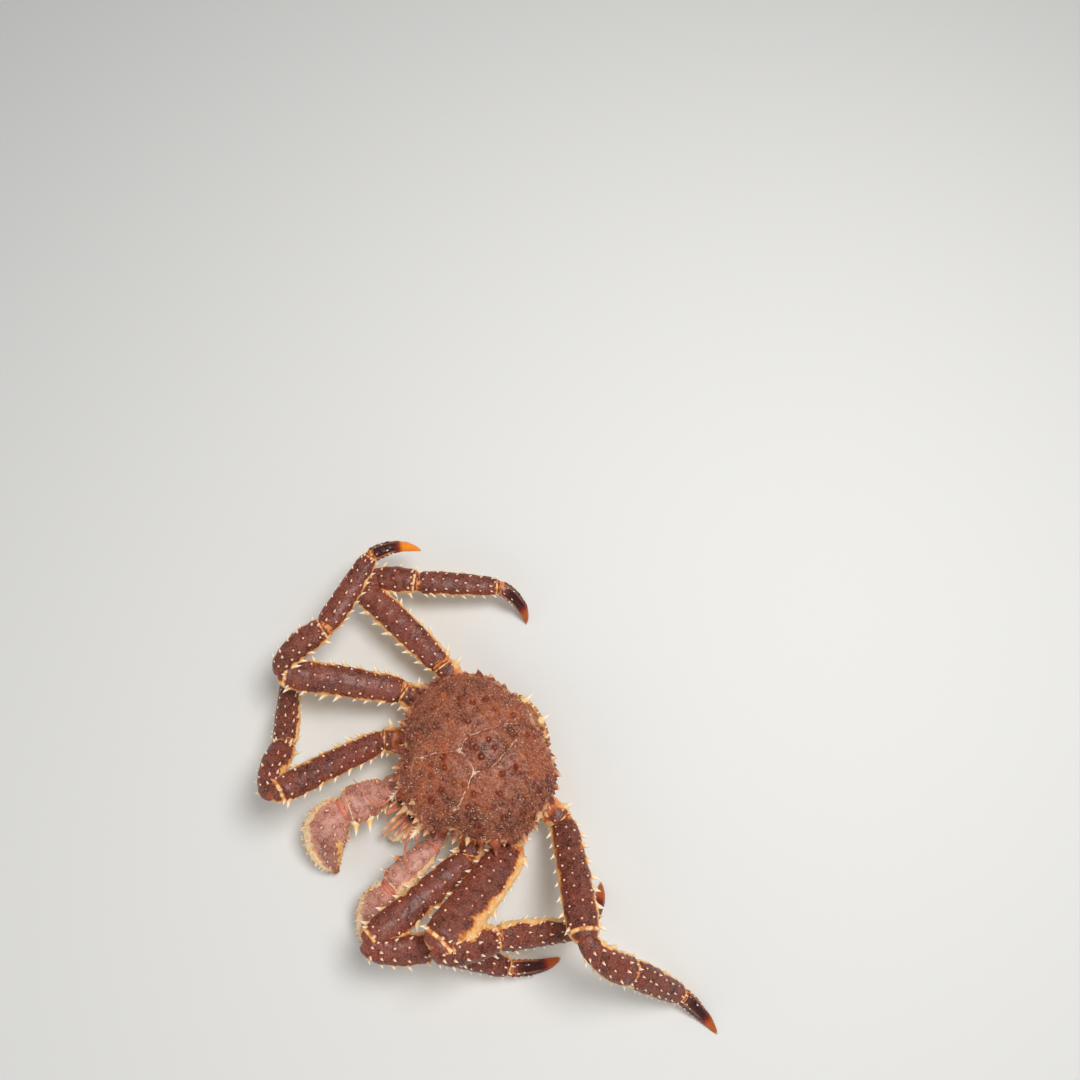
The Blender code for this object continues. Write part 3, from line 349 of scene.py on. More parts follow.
# A spine's profile: share of its length, share of its root radius. It starts sunk in the shell.
SPINE_PROFILE = np.array((
    (-0.22, 1.25), (0.0, 1.0), (0.1, 0.82), (0.28, 0.62), (0.52, 0.42), (0.78, 0.22), (0.94, 0.09),
))
MARGIN_PROFILE = np.array(((-0.3, 1.25), (0.0, 1.0), (0.2, 0.8), (0.45, 0.54), (0.7, 0.29), (0.92, 0.09)))
GRAIN_PROFILE = np.array(((-0.4, 1.0), (0.3, 0.92), (0.8, 0.55)))
MASKS = ("pale", "ring", "joint", "line", "rise", "grain", "along", "bright", "amber")


def chance(name):
    """A seeded random source of its own for each name."""
    return np.random.default_rng([ord(letter) for letter in name])


def unit(vectors):
    """The vectors at length one."""
    return vectors / np.maximum(np.linalg.norm(vectors, axis=-1, keepdims=True), 1e-9)


def fade(value, low, high):
    """0 below low, 1 above high, and a smooth step between them."""
    t = np.clip((value - low) / (high - low), 0.0, 1.0)
    return t * t * (3 - 2 * t)


def hump(value, at, width):
    """1 where the value is at the middle, falling as the exponential of the squared distance in widths."""
    return np.exp(-((value - at) / width) ** 2)


def round_angles(count):
    """This many angles evenly round a circle."""
    return TURN * np.arange(count) / count


def from_middle(angle, radius):
    """The place at an angle from -Y and a distance from the middle."""
    return radius * np.sin(angle), -radius * np.cos(angle)


def points_of(x, y, z=0.0):
    """Points from their coordinates, each an array or one value."""
    return np.stack(np.broadcast_arrays(x, y, z), axis=-1)


def soft_steps(t, places, values, reach=0.03):
    """Values at t between stations, each the mean of a short stretch of the straight lines between them."""
    spread = np.linspace(-reach, reach, SMOOTH_STEPS)
    return np.mean([np.interp(np.clip(t + s, 0.0, 1.0), places, values) for s in spread], axis=0)


def ripple(points, size, name):
    """Smooth lumps, mostly between -1 and 1: plane sine waves of about this size in every direction.

    They are added up and divided by the root of their number.
    """
    source = chance(name)
    ways = unit(source.normal(size=(WAVES, 3))) * (TURN / size) * source.uniform(0.6, 1.6, (WAVES, 1))
    turns = source.uniform(0, TURN, WAVES)
    return np.sin(points @ ways.T + turns).sum(axis=-1) / math.sqrt(WAVES)


class Patch(NamedTuple):
    """A closed surface: points, four-cornered and three-cornered faces, and masks with a value a point."""

    points: np.ndarray
    quads: np.ndarray
    tris: np.ndarray
    masks: dict


def outward(points, quads, tris):
    """The faces, turned over if the volume that they close is negative."""
    corners = np.concatenate((tris, quads[:, (0, 1, 2)], quads[:, (0, 2, 3)]))
    a, b, c = (points[corners[:, k]] for k in range(3))
    if np.einsum("ij,ij->i", a, np.cross(b, c)).sum() < 0:
        return quads[:, ::-1], tris[:, ::-1]
    return quads, tris


def ring_faces(rows, columns):
    """Faces of a grid whose columns close on themselves, and a fan at each end to a point after the grid."""
    row, column = np.meshgrid(np.arange(rows - 1), np.arange(columns), indexing="ij")
    after = (column + 1) % columns
    here, above = row * columns, (row + 1) * columns
    quads = np.stack((here + column, here + after, above + after, above + column), axis=-1).reshape(-1, 4)
    k = np.arange(columns)
    n = (k + 1) % columns
    first, last, top = rows * columns, rows * columns + 1, (rows - 1) * columns
    fans = (np.stack((np.full(columns, first), n, k), axis=-1),
            np.stack((np.full(columns, last), top + k, top + n), axis=-1))
    return quads, np.concatenate(fans)


def closed(grid, first, last, masks):
    """A closed patch from a grid of rows of rings and its two end points. A mask is a grid, or one value."""
    rows, columns = grid.shape[:2]
    points = np.concatenate((grid.reshape(-1, 3), [first, last]))
    quads, tris = ring_faces(rows, columns)
    quads, tris = outward(points, quads, tris)
    flat = {}
    for name, mask in masks.items():
        mask = np.broadcast_to(np.asarray(mask, float), (rows, columns))
        flat[name] = np.concatenate((mask.ravel(), [mask[0].mean(), mask[-1].mean()]))
    return Patch(points, quads, tris, flat)


def joined(patches):
    """One patch of several. A mask that a patch lacks is 0 on it."""
    offsets = np.cumsum([0] + [len(p.points) for p in patches[:-1]])
    masks = {
        name: np.concatenate([p.masks.get(name, np.zeros(len(p.points))) for p in patches]) for name in MASKS
    }
    return Patch(
        np.concatenate([p.points for p in patches]),
        np.concatenate([p.quads + o for p, o in zip(patches, offsets)]),
        np.concatenate([p.tris + o for p, o in zip(patches, offsets)]),
        masks,
    )


def cones(roots, ways, lengths, radii, sides=8, profile=SPINE_PROFILE, curl=None, masks=None):
    """Many spines as one patch: the profile turned about each way and bent along curl.

    The bend grows with the square of the height. Each spine takes the values of the masks that it is given.
    """
    count, rows = len(roots), len(profile)
    heights, shares = profile[:, 0], profile[:, 1]
    ways = unit(ways)
    aside = np.where(np.abs(ways[:, 2:]) < 0.9, UP, (1.0, 0.0, 0.0))
    u = unit(np.cross(ways, aside))
    v = np.cross(ways, u)
    angles = round_angles(sides)
    ring = np.cos(angles)[None, :, None] * u[:, None] + np.sin(angles)[None, :, None] * v[:, None]
    curl = np.zeros_like(roots) if curl is None else curl
    middles = roots[:, None] + ways[:, None] * (lengths[:, None] * heights)[..., None]
    middles = middles + curl[:, None] * (np.maximum(heights, 0) ** 2)[None, :, None] * lengths[:, None, None]
    grid = middles[:, :, None] + (radii[:, None] * shares)[:, :, None, None] * ring[:, None]
    low = middles[:, :1]
    high = (roots + (ways + curl) * lengths[:, None])[:, None]
    points = np.concatenate((grid.reshape(count, -1, 3), low, high), axis=1)
    quads, tris = ring_faces(rows, sides)
    each = points.shape[1]
    quads, tris = outward(points[0] - roots[0], quads, tris)
    shift = (np.arange(count) * each)[:, None, None]
    rise = np.concatenate((np.repeat(np.clip(heights, 0, 1), sides), [0.0, 1.0]))
    made = {"rise": np.tile(rise, count), "bright": np.ones(count * each)}
    for name, mask in (masks or {}).items():
        made[name] = np.repeat(np.broadcast_to(np.asarray(mask, float), (count,)), each)
    return Patch(points.reshape(-1, 3), (quads + shift).reshape(-1, 4), (tris + shift).reshape(-1, 3), made)


def grains(roots, ways, radii, source, masks=None):
    """Many low round grains as one patch, each as pale as chance has it."""
    masks = {"grain": source.uniform(0.1, 1.0, len(roots)) ** 1.5, **(masks or {})}
    patch = cones(roots, ways, radii * GRAIN[0] / GRAIN[1], radii, 6, GRAIN_PROFILE, masks=masks)
    patch.masks["rise"][:] = 0.0
    return patch


def near_roots(points, roots, radii, strengths=None):
    """How close each point is to a root: the largest strength, or 1, times a hump of the gap in radii."""
    close = np.zeros(len(points))
    strengths = np.ones(len(roots)) if strengths is None else strengths
    for start in range(0, len(points), CHUNK):
        part = slice(start, start + CHUNK)
        gap = np.linalg.norm(points[part, None] - roots[None], axis=-1) / radii[None]
        close[part] = (strengths[None] * np.exp(-gap ** 2)).max(axis=1)
    return close


def added(name, data):
    """A new object of the scene with this data."""
    made = bpy.data.objects.new(name, data)
    bpy.context.scene.collection.objects.link(made)
    return made


def piece(name, patch, finish, slot, *nodes):
    """A piece of the model: its mesh in metres with the masks as attributes, which stands for the nodes.

    What would reach below the floor is flattened on it.
    """
    patch.points[:, 2] = np.maximum(patch.points[:, 2], 0.0)
    mesh = bpy.data.meshes.new(name)
    quads, tris = patch.quads, patch.tris
    mesh.vertices.add(len(patch.points))
    mesh.vertices.foreach_set("co", (patch.points * MM).astype(np.float32).ravel())
    mesh.loops.add(quads.size + tris.size)
    mesh.loops.foreach_set("vertex_index", np.concatenate((quads.ravel(), tris.ravel())).astype(np.int32))
    mesh.polygons.add(len(quads) + len(tris))
    starts = np.concatenate((np.arange(len(quads)) * 4, quads.size + np.arange(len(tris)) * 3))
    mesh.polygons.foreach_set("loop_start", starts.astype(np.int32))
    mesh.update(calc_edges=True)
    mesh.validate()
    mesh.shade_smooth()
    for mask, values in patch.masks.items():
        layer = mesh.attributes.new(mask, "FLOAT", "POINT")
        layer.data.foreach_set("value", values.astype(np.float32))
    mesh.materials.append(finish)
    made = added(name, mesh)
    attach(made, "root")
    if nodes:
        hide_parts(*nodes)


class Limb:
    """A limb segment: oval sections carried along a quadratic curve from start by bend to end."""

    def __init__(self, start, end, hook, stations, handed=1, scale=1.0, breadth=1.0):
        """Stations: place along the curve, half width, half thickness. The hook leads from start to bend."""
        self.start, self.end = np.array(start, float), np.array(end, float)
        self.bend = self.start + np.array(hook, float)
        table = np.array(stations)
        self.places = table[:, 0]
        self.widths = table[:, 1] * scale * breadth
        self.heights = table[:, 2] * scale
        self.handed = handed

    def axis(self, t):
        """The point at t of the curve."""
        t = np.asarray(t, float)[..., None]
        return self.start * (1 - t) ** 2 + self.bend * (2 * t * (1 - t)) + self.end * t ** 2

    def tangent(self, t):
        """The unit direction of the curve at t."""
        t = np.asarray(t, float)[..., None]
        return unit((self.bend - self.start) * (1 - t) + (self.end - self.bend) * t)

    def across(self, t):
        """The outer side and the back of the section at t."""
        ahead = self.tangent(t)
        side = unit(np.cross(ahead, UP)) * self.handed
        return side, unit(UP - ahead * ahead[..., 2:])

    def size(self, t):
        """Half width and half thickness at t."""
        return soft_steps(t, self.places, self.widths), soft_steps(t, self.places, self.heights)

    def skin(self, t, angle, lift=0.0):
        """The surface at t and angle: an oval, squared by a power of its cosine and sine, raised by lift."""
        side, back = self.across(t)
        width, height = self.size(t)
        c, s = np.cos(angle), np.sin(angle)
        c, s = np.sign(c) * np.abs(c) ** SQUARENESS, np.sign(s) * np.abs(s) ** SQUARENESS
        return self.axis(t) + side * ((width + lift) * c)[..., None] + back * ((height + lift) * s)[..., None]

    def outward(self, t, angle):
        """The normal of the section's ellipse at t and angle, leaving the taper out."""
        side, back = self.across(t)
        width, height = self.size(t)
        return unit(side * (np.cos(angle) * height)[..., None] + back * (np.sin(angle) * width)[..., None])


def spread_rows(rows, source):
    """The rows of spines as arrays, each even but for chance: place, angle, length, radius, lean."""
    found = []
    for angle, first, last, count, length, radius, lean in rows:
        places = np.linspace(first, last, count) + source.uniform(-ROW_SHIFT, ROW_SHIFT, count)
        angles = np.radians(angle + source.uniform(-ROW_TURN, ROW_TURN, count))
        sizes = source.uniform(*ROW_SIZES, count)
        leans = np.full(count, lean)
        found.append(np.stack((places, angles, length * sizes, radius * sizes ** 0.5, leans), axis=-1))
    return np.concatenate(found).T


def limb_patch(name, limb, kind, rows, grain_count, amber, pale_turn, scale=1.0, claw=False):
    """A limb segment with its spines and grains.

    The skin is lifted into a boss under each spine, a keel along both edges, a lip with a dip before it at
    the far end, and soft lumps. The skin of a leg's root is pleated, and a walking tip is ridged.
    Masks: pale on the underside, the edges and the far rim, ring round the spines, joint where it starts and
    on the root's skin, along the limb, and amber as given.
    """
    source = chance(name)
    count, around = GRIDS[kind]
    t, angle = np.broadcast_arrays(np.linspace(0.0, 1.0, count)[:, None], round_angles(around)[None, :])
    places, turns, lengths, radii, leans = spread_rows(rows, source)
    lengths, radii = lengths * scale, radii * scale
    roots, ahead = limb.skin(places, turns), limb.tangent(places)
    ways = unit(limb.outward(places, turns) + ahead * leans[:, None])
    clear = roots[:, 2] + np.minimum(ways[:, 2], 0) * lengths > FLOOR_CLEAR
    places, turns, lengths, radii = places[clear], turns[clear], lengths[clear], radii[clear]
    roots, ways, ahead = roots[clear], ways[clear], ahead[clear]
    full, none = PALE_RISE[kind]
    base = limb.skin(t, angle)

    def paleness(where, spin, uneven=0.0):
        """How pale the underside is, by the sine of the angle, and a hand's edge at angle 0 by the cosine."""
        below = fade(-np.sin(spin + math.radians(pale_turn)) + uneven, -none, -full)
        rim = fade(np.cos(spin) + uneven - 0.3 * (1 - fade(where, 0.1, 0.45)), 0.3, 0.72)
        return np.maximum(0.85 * below, rim) if kind == "hand" else below

    def lumps(size, what):
        """A ripple of this size over the segment's plain skin."""
        return ripple(base, size, f"{name} {what}")

    close = near_roots(base.reshape(-1, 3), roots, radii * 1.6).reshape(t.shape)
    lift = 0.5 * scale * close + 0.6 * scale * np.abs(np.cos(angle)) ** 14
    if kind not in FREE_ENDS:
        lift = lift + scale * (0.7 * hump(t, LIP_AT, LIP_WIDTH) - 0.45 * hump(t, DIP_AT, DIP_WIDTH))
    lift = lift + 0.24 * lumps(14.0, "lumps") + 0.1 * lumps(4.0, "grain")
    pale = paleness(t, angle, 0.08 * lumps(6.0, "edge") + 0.16 * lumps(26.0, "side"))
    pale = pale * (0.72 + 0.28 * fade(-np.sin(angle) + 0.3 * lumps(18.0, "belly"), 0.3, 0.95))
    if kind == "carpus":
        pale = pale * (1 - fade(np.sin(angle), -0.5, 0.1) * fade(0.16 - t, 0.0, 0.1))
    side = pale
    joint = START_REDNESS.get(kind, START_REDNESS_ELSEWHERE) * fade(0.03 - t, 0.0, 0.03)
    if kind == "ischium":
        soft = fade(MEMBRANE_END - t + 0.03 * lumps(9.0, "root"), 0.0, 0.05)
        pleat = np.sin(TURN * MEMBRANE_PLEATS * t + 1.3 * lumps(12.0, "pleats"))
        joint = np.maximum(joint, soft * (0.72 + 0.2 * pleat + 0.1 * lumps(5.0, "skin")))
        lift = lift + 0.3 * soft * pleat
    if kind == "dactyl":
        top_ridge = np.abs(np.cos(angle * 2 - 2 * TOP_RIDGE)) ** 40 * (np.sin(angle) > 0)
        ridge = np.abs(np.cos(angle)) ** 24 + top_ridge
        lift = (lift + 0.35 * ridge) * fade(1 - t, 0.0, 0.3)
        pale = np.maximum(pale, 0.75 * np.minimum(ridge, 1.0) * fade(0.62 - t, 0.0, 0.2))
    elif kind not in FREE_ENDS:
        uneven = 0.3 + 0.65 * fade(lumps(5.0, "rim"), -0.7, 0.8)
        pale = np.maximum(pale, uneven * fade(t, RIM_START, RIM_FULL) * fade(RIM_END - t, 0.0, 0.012))
    inner = fade(-np.cos(angle) + 0.15 * lumps(7.0, "inside"), 0.55, 0.85)
    if kind == "hand":
        joint = np.maximum(joint, 0.75 * inner * fade(t, 0.5, 0.56) * fade(0.95 - t, 0.0, 0.05))
    if kind == "finger":
        pale = np.maximum(pale, 0.62 * inner * fade(0.92 - t, 0.0, 0.1))
    grid = limb.skin(t, angle, lift)
    masks = {"pale": pale, "ring": close, "joint": joint, "along": t, "amber": np.full(t.shape, amber)}
    if kind == "dactyl":
        body = closed(grid, limb.axis(0.0), limb.end, masks)
    else:
        body = domed(name, limb, grid, masks, side[-1:])
    dull_share = CLAW_DULL_SHARE if claw else DULL_SHARE
    dull = (source.uniform(0, 1, len(roots)) < dull_share) & (radii < DULL_RADIUS)
    spine_masks = {"pale": paleness(places, turns), "along": places, "amber": amber,
                   "bright": np.where(dull, 0.2, 1.0), "ring": 0.7 * dull}
    spiny = cones(roots, ways, lengths, radii, curl=ahead * 0.12, masks=spine_masks)
    spots = source.uniform(0.06, 0.94, grain_count)
    spins = source.uniform(0, TURN, grain_count)
    seats = limb.skin(spots, spins, 0.05)
    above = seats[:, 2] > FLOOR_CLEAR
    spots, spins, seats = spots[above], spins[above], seats[above]
    sizes = source.uniform(0.35, 0.8, len(seats)) * scale
    grain_masks = {"pale": paleness(spots, spins), "along": spots, "amber": amber}
    small = grains(seats, limb.outward(spots, spins), sizes, source, grain_masks)
    return joined([body, spiny, small])


def domed(name, limb, grid, masks, side):
    """A segment's grid closed by a dome on each end. The far one is as pale as the side, and worn."""
    middle, out = limb.axis(1.0), limb.tangent(1.0) * limb.size(1.0)[1]
    start, back = limb.axis(0.0), -limb.tangent(0.0) * limb.size(0.0)[1]
    dome = [(middle + (grid[-1] - middle) * share + out * step)[None] for share, step in END_DOME]
    cap = [(start + (grid[0] - start) * share + back * step)[None] for share, step in END_DOME[::-1]]
    steps = len(END_DOME)
    grid = np.concatenate(cap + [grid] + dome)
    masks = {key: np.pad(mask, ((steps, steps), (0, 0)), "edge") for key, mask in masks.items()}
    wear = fade(ripple(grid[-steps:], 5.0, name + " knee"), -1.0, 1.4)
    masks["pale"][-steps:] = side * (0.7 + 0.3 * wear)
    masks["joint"][-steps:] = 0.1 * (1 - wear)
    deepest = END_DOME[-1][1] * 1.02
    return closed(grid, start + back * deepest, middle + out * deepest, masks)


def sleeve(near, far, redness=1.0, size=1.0):
    """The soft skin of a joint: rings from inside the near segment's end to inside the far segment's start.

    It is blended between five sections and pleated across by a sine of the distance along it.
    """
    stations = ((near, 0.94, 0.84), (near, 0.985, 0.93),
                (far, 0.02, 1.04), (far, 0.06, 0.92), (far, 0.12, 0.8))
    angle = round_angles(SLEEVE_SIDES)
    rings = []
    for limb, t, share in stations:
        t = np.full(SLEEVE_SIDES, t)
        middle = limb.axis(t)
        rings.append(middle + (limb.skin(t, angle) - middle) * (share * size))
    rings = np.array(rings)
    fine = np.linspace(0, len(stations) - 1, SLEEVE_ROWS)
    low = np.minimum(fine.astype(int), len(stations) - 2)
    part = fade(fine - low, 0, 1)[:, None, None]
    grid = rings[low] * (1 - part) + rings[low + 1] * part
    middle = grid.mean(axis=1, keepdims=True)
    pleats = 0.5 * np.sin(fine * TURN * 2.2)[:, None]
    lumps = 0.3 * ripple(grid, 5.0, "joint skin")
    grid = grid + unit(grid - middle) * (pleats + lumps)[..., None]
    masks = {"joint": redness * (0.7 + 0.5 * pleats), "pale": min(1.0, 2 * redness) * (0.4 + 0.7 * lumps)}
    return closed(grid, grid[0].mean(axis=0), grid[-1].mean(axis=0), masks)


def bent_cubic(a, b, c, d, t):
    """The cubic from b to c at t, bent by the points a before them and d after them."""
    second, third = 2 * a - 5 * b + 4 * c - d, 3 * b - a - 3 * c + d
    return 0.5 * (2 * b + (c - a) * t + second * t ** 2 + third * t ** 3)


def through(points, count):
    """A smooth curve through the points, a cubic between each two: count places and their directions."""
    p = np.array(points, float)
    p = np.concatenate((2 * p[:1] - p[1:2], p, 2 * p[-1:] - p[-2:-1]))
    s = np.linspace(0, len(points) - 1, count)
    k = np.minimum(s.astype(int), len(points) - 2)
    curve = bent_cubic(p[k], p[k + 1], p[k + 2], p[k + 3], (s - k)[:, None])
    return curve, unit(np.gradient(curve, axis=0))


def tube(points, radii, count, around, flat=1.0, joints=(), depth=0.25, beads=0, masks=None):
    """A tapering round or flattened tube along a smooth curve, drawn in at its joints and ringed by beads."""
    middle, ahead = through(points, count)
    s = np.linspace(0, 1, count)
    radius = soft_steps(s, np.linspace(0, 1, len(radii)), radii, 0.05)
    for place in joints:
        radius = radius * (1 - depth * hump(s, place, TUBE_JOINT))
    if beads:
        radius = radius * (1 + 0.07 * np.cos(TURN * beads * s))
    side = unit(np.cross(ahead, UP))
    back = np.cross(side, ahead)
    angle = round_angles(around)[None, :, None]
    ring = np.cos(angle) * side[:, None] + flat * np.sin(angle) * back[:, None]
    grid = middle[:, None] + radius[:, None, None] * ring
    first, last = middle[0] - ahead[0] * 0.3 * radius[0], middle[-1] + ahead[-1] * 0.5 * radius[-1]
    return closed(grid, first, last, {"along": s[:, None], **(masks or {})})


def fringe(points, count, first, last, length, radius, spread, name, pale=0.6):
    """Stiff hairs along a curve, set in a fan of this spread below it."""
    source = chance(name)
    curve, ahead = through(points, 200)
    spots = source.uniform(first, last, count)
    k = (spots * 199).astype(int)
    side = unit(np.cross(ahead[k], UP))
    turn = np.radians(source.uniform(-spread, spread, count))
    ways = unit(side * np.sin(turn)[:, None] - UP * np.cos(turn)[:, None] + ahead[k] * 0.6)
    sizes = source.uniform(0.6, 1.2, count)
    return cones(curve[k], ways, length * sizes, np.full(count, radius), 4, curl=ahead[k] * 0.3,
                 masks={"along": 1.0, "pale": pale, "bright": pale})


def outline_table():
    """The outline as angle from -Y and radius, from a smooth closed curve through the half's points."""
    left = np.array(HALF_OUTLINE, float)
    loop = np.concatenate((left, left[-2:0:-1] * (-1, 1)))
    t = (np.arange(OUTLINE_STEPS) / OUTLINE_STEPS)[None, :, None]
    curve = bent_cubic(*(np.roll(loop, 1 - k, axis=0)[:, None] for k in range(4)), t).reshape(-1, 2)
    angles = np.arctan2(curve[:, 0], -curve[:, 1]) % TURN
    order = np.argsort(angles)
    return angles[order], np.linalg.norm(curve, axis=1)[order]


OUTLINE_ANGLES, OUTLINE_RADII = outline_table()


def outline_radius(angle):
    """The outline's distance from the middle at this angle from -Y."""
    return np.interp(angle % TURN, OUTLINE_ANGLES, OUTLINE_RADII, period=TURN)


def outline_share(x, y):
    """How far out a place of the back is, as a share of the outline."""
    return np.hypot(x, y) / outline_radius(np.arctan2(x, -y))


def groove_fields(x, y):
    """Depth, pale line and pale pits of the grooves: humps of each place's distance to their stretches."""
    depth, line, pit = np.zeros_like(x), np.zeros_like(x), np.zeros_like(x)
    flat = points_of(x, y)
    strayed = np.abs(x) + 0.5 * ripple(flat, 7.0, "groove x"), y + 0.5 * ripple(flat, 7.0, "groove y")
    place = np.stack(strayed, axis=-1)
    fine = 0.75 + 0.35 * ripple(flat, 5.0, "groove widths")
    for px, py, radius in PITS:
        fine = fine + 0.8 * np.exp(-((x - px) ** 2 + (y - py) ** 2) / (2.4 * radius) ** 2)
    for path, deep, shown in zip(GROOVES, GROOVE_DEPTHS, GROOVE_LINES):
        middle, _ = through([(px, py, 0.0) for px, py in path], 8 * len(path))
        middle = middle[:, :2]
        gap = np.full(x.shape, 1e9)
        for a, b in zip(middle, middle[1:]):
            span = b - a
            along = np.clip(((place - a) @ span) / (span @ span), 0, 1)
            gap = np.minimum(gap, np.linalg.norm(place - a - along[..., None] * span, axis=-1))
        depth = np.maximum(depth, deep * np.exp(-(gap / GROOVE_WIDTH) ** 2))
        line = np.maximum(line, shown * np.exp(-(gap / (GROOVE_LINE_WIDTH * np.maximum(fine, 0.3))) ** 2))
    for px, py, radius in PITS:
        gap = np.hypot(place[..., 0] - px, place[..., 1] - py)
        depth = np.maximum(depth, 1.6 * np.exp(-(gap / radius) ** 2))
        ragged = gap * (1 + 0.35 * ripple(flat, 4.0, "pit edges"))
        specks = fade(ripple(flat, 2.2, "pit specks"), -1.2, 0.6)
        pit = np.maximum(pit, np.exp(-(ragged / (0.8 * radius)) ** 4) * specks)
    return depth, line, pit


def back_height(x, y):
    """The height of the back: a power of a round dome that falls to the margin, and raised regions."""
    dome = (1 - np.minimum(1.0, outline_share(x, y)) ** 2) ** DOME_POWER
    rise = DOME_RISE * dome
    for cx, cy, half_width, half_length, bump in REGIONS:
        far = ((x - cx) / half_width) ** 2 + ((y - cy) / half_length) ** 2
        rise = rise + bump * np.minimum(1.0, REGION_FADE * dome) / (1 + far * far)
    return MARGIN_Z + rise


def back_places(x, y):
    """Points of the back at these places and its normals, from its slopes over a millimetre each way."""
    step = 1.0
    dx = back_height(x + step, y) - back_height(x - step, y)
    dy = back_height(x, y + step) - back_height(x, y - step)
    return points_of(x, y, back_height(x, y)), unit(points_of(-dx, -dy, 2 * step))


def back_spine_places():
    """Places of the main spines, mirrored and a little shifted, and of the minor ones on a loose grid."""
    source = chance("back spines")
    half = np.array(MAIN_SPINES, float)
    right = half[half[:, 0] > 3] * (-1, 1)
    main = np.concatenate((half, right))
    main = main + source.uniform(-1.4, 1.4, main.shape)
    columns, rows = np.meshgrid(np.arange(-11, 12), np.arange(-11, 12))
    x = (columns + 0.5 * (rows % 2)) * MINOR_SPINE_STEP
    y = rows * MINOR_SPINE_STEP * 0.87
    minor = np.stack((x.ravel(), y.ravel()), axis=-1) + source.uniform(-2.6, 2.6, (x.size, 2))
    minor = minor[outline_share(minor[:, 0], minor[:, 1]) < 0.95]
    gap = np.linalg.norm(minor[:, None] - main[None], axis=-1).min(axis=1)
    depth, _, _ = groove_fields(minor[:, 0], minor[:, 1])
    return main, minor[(gap > MINOR_SPINE_CLEAR) & (depth < 0.3)]


def make_shell(finish):
    """The shell: a polar grid over the outline, domed and sculpted, closed under its margin, with spines."""
    share = np.linspace(0, 1, SHELL_RINGS + 1)[1:] ** 0.8
    share, angle = np.meshgrid(share, round_angles(SHELL_SIDES), indexing="ij")
    x, y = from_middle(angle, outline_radius(angle) * share)
    flat = points_of(x, y)
    main, minor = back_spine_places()
    places = np.stack((x.ravel(), y.ravel()), axis=-1)
    sizes = np.concatenate((np.full(len(main), MAIN_SWELL), np.full(len(minor), MINOR_SWELL)))
    close = near_roots(places, np.concatenate((main, minor)), sizes).reshape(x.shape)
    boss = near_roots(places, main, np.full(len(main), MAIN_BOSS)).reshape(x.shape)
    stain = chance("shell stains")
    sizes, strengths = stain.uniform(*STAIN_SIZE, len(main)), stain.uniform(*STAIN_STRENGTH, len(main))
    near_main = near_roots(places + 0.5 * stain.normal(size=2), main, sizes, strengths).reshape(x.shape)
    near_main = near_main * (1 + 0.25 * ripple(flat, 4.0, "shell stain edges"))
    depth, line, pit = groove_fields(x, y)
    relief = 0.9 * boss + 0.3 * close - depth
    relief = relief + 0.5 * ripple(flat, 26.0, "shell swells") + 0.22 * ripple(flat, 8.0, "shell lumps")
    relief = relief + 0.09 * ripple(flat, 3.0, "shell grain")
    top = points_of(x, y, back_height(x, y) + relief * fade(1 - share, 0.0, 0.12))
    gold = 0.022 * ripple(flat, 34.0, "shell gold") + 0.014 * ripple(flat, 8.0, "shell edge") - 0.004
    edge = (0.74 - 0.34 * fade(y, 20.0, 60.0)) * fade(share + gold, 0.95, 1.0)
    beads = 0.8 * ripple(flat, 3.0, "shell line beads") + 0.7 * ripple(flat, 12.0, "shell line")
    line = np.maximum(line * fade(beads, -0.9, 0.7), 0.9 * pit)
    rings = [points_of(*from_middle(angle[0], outline_radius(angle[0]) * low), z) for low, z in SHELL_SIDE]
    grid = np.concatenate((top, rings))
    masks = {"pale": edge, "ring": near_main, "line": line, "along": share}
    masks = {key: np.pad(mask, ((0, len(rings)), (0, 0))) for key, mask in masks.items()}
    rim = grid[-len(rings):]
    specks = fade(ripple(rim, 13.0, "rim") + 0.5 * ripple(rim, 4.0, "rim specks"), -1.2, 1.4)
    masks["pale"][-len(rings):] = (0.66 - 0.36 * fade(rim[..., 1], 20.0, 60.0)) * specks
    rim[:-2, :, :2] *= (1 + 0.004 * ripple(rim[:-2], 5.0, "rim lumps"))[..., None]
    crown = np.array((0, 0, grid[0, :, 2].mean()))
    body = closed(grid, crown, np.array((0, 0, SHELL_FLOOR_Z)), masks)
    piece("carapace", body, finish, "shell", "shell")
    spines = joined(back_spines(main, minor, strengths) + margin_spines() + [rim_grains()])
    piece("carapace_spines", spines, finish, "shell")


def back_spines(main, minor, strengths):
    """The cones of the back and the grains between them."""
    source = chance("back cones")
    made = []
    front = fade(-minor[:, 1], 0.0, 30.0)
    # The last column sets how pale a spine's point is: partly a real pale tip, partly a painted highlight
    kinds = ((main, MAIN_SPINE, strengths, 0.7), (minor, MINOR_SPINE, 0.1 + 0.8 * front, 1 - 0.8 * front))
    for places, (length, radius), ring, bright in kinds:
        roots, normals = back_places(places[:, 0], places[:, 1])
        sizes = source.uniform(0.7, 1.3, len(places))
        masks = {"ring": ring, "bright": bright * source.uniform(0.0, 1.0, len(places))}
        radii = radius * sizes ** 0.5
        made.append(cones(roots + normals * 0.5, normals, length * sizes, radii, 12, masks=masks))
    angle = source.uniform(0, TURN, BACK_GRAINS)
    radius = outline_radius(angle) * 0.97 * source.uniform(0, 1, BACK_GRAINS) ** 0.42
    x, y = from_middle(angle, radius)
    depth, _, _ = groove_fields(x, y)
    keep = depth < 0.5
    roots, normals = back_places(x[keep], y[keep])
    masks = {"grain": 0.1 + 0.9 * source.uniform(0, 1, len(roots)) ** 3}
    sizes = source.uniform(0.3, 0.75, len(roots))
    made.append(grains(roots + normals * 0.1, normals, sizes, source, masks))
    return made


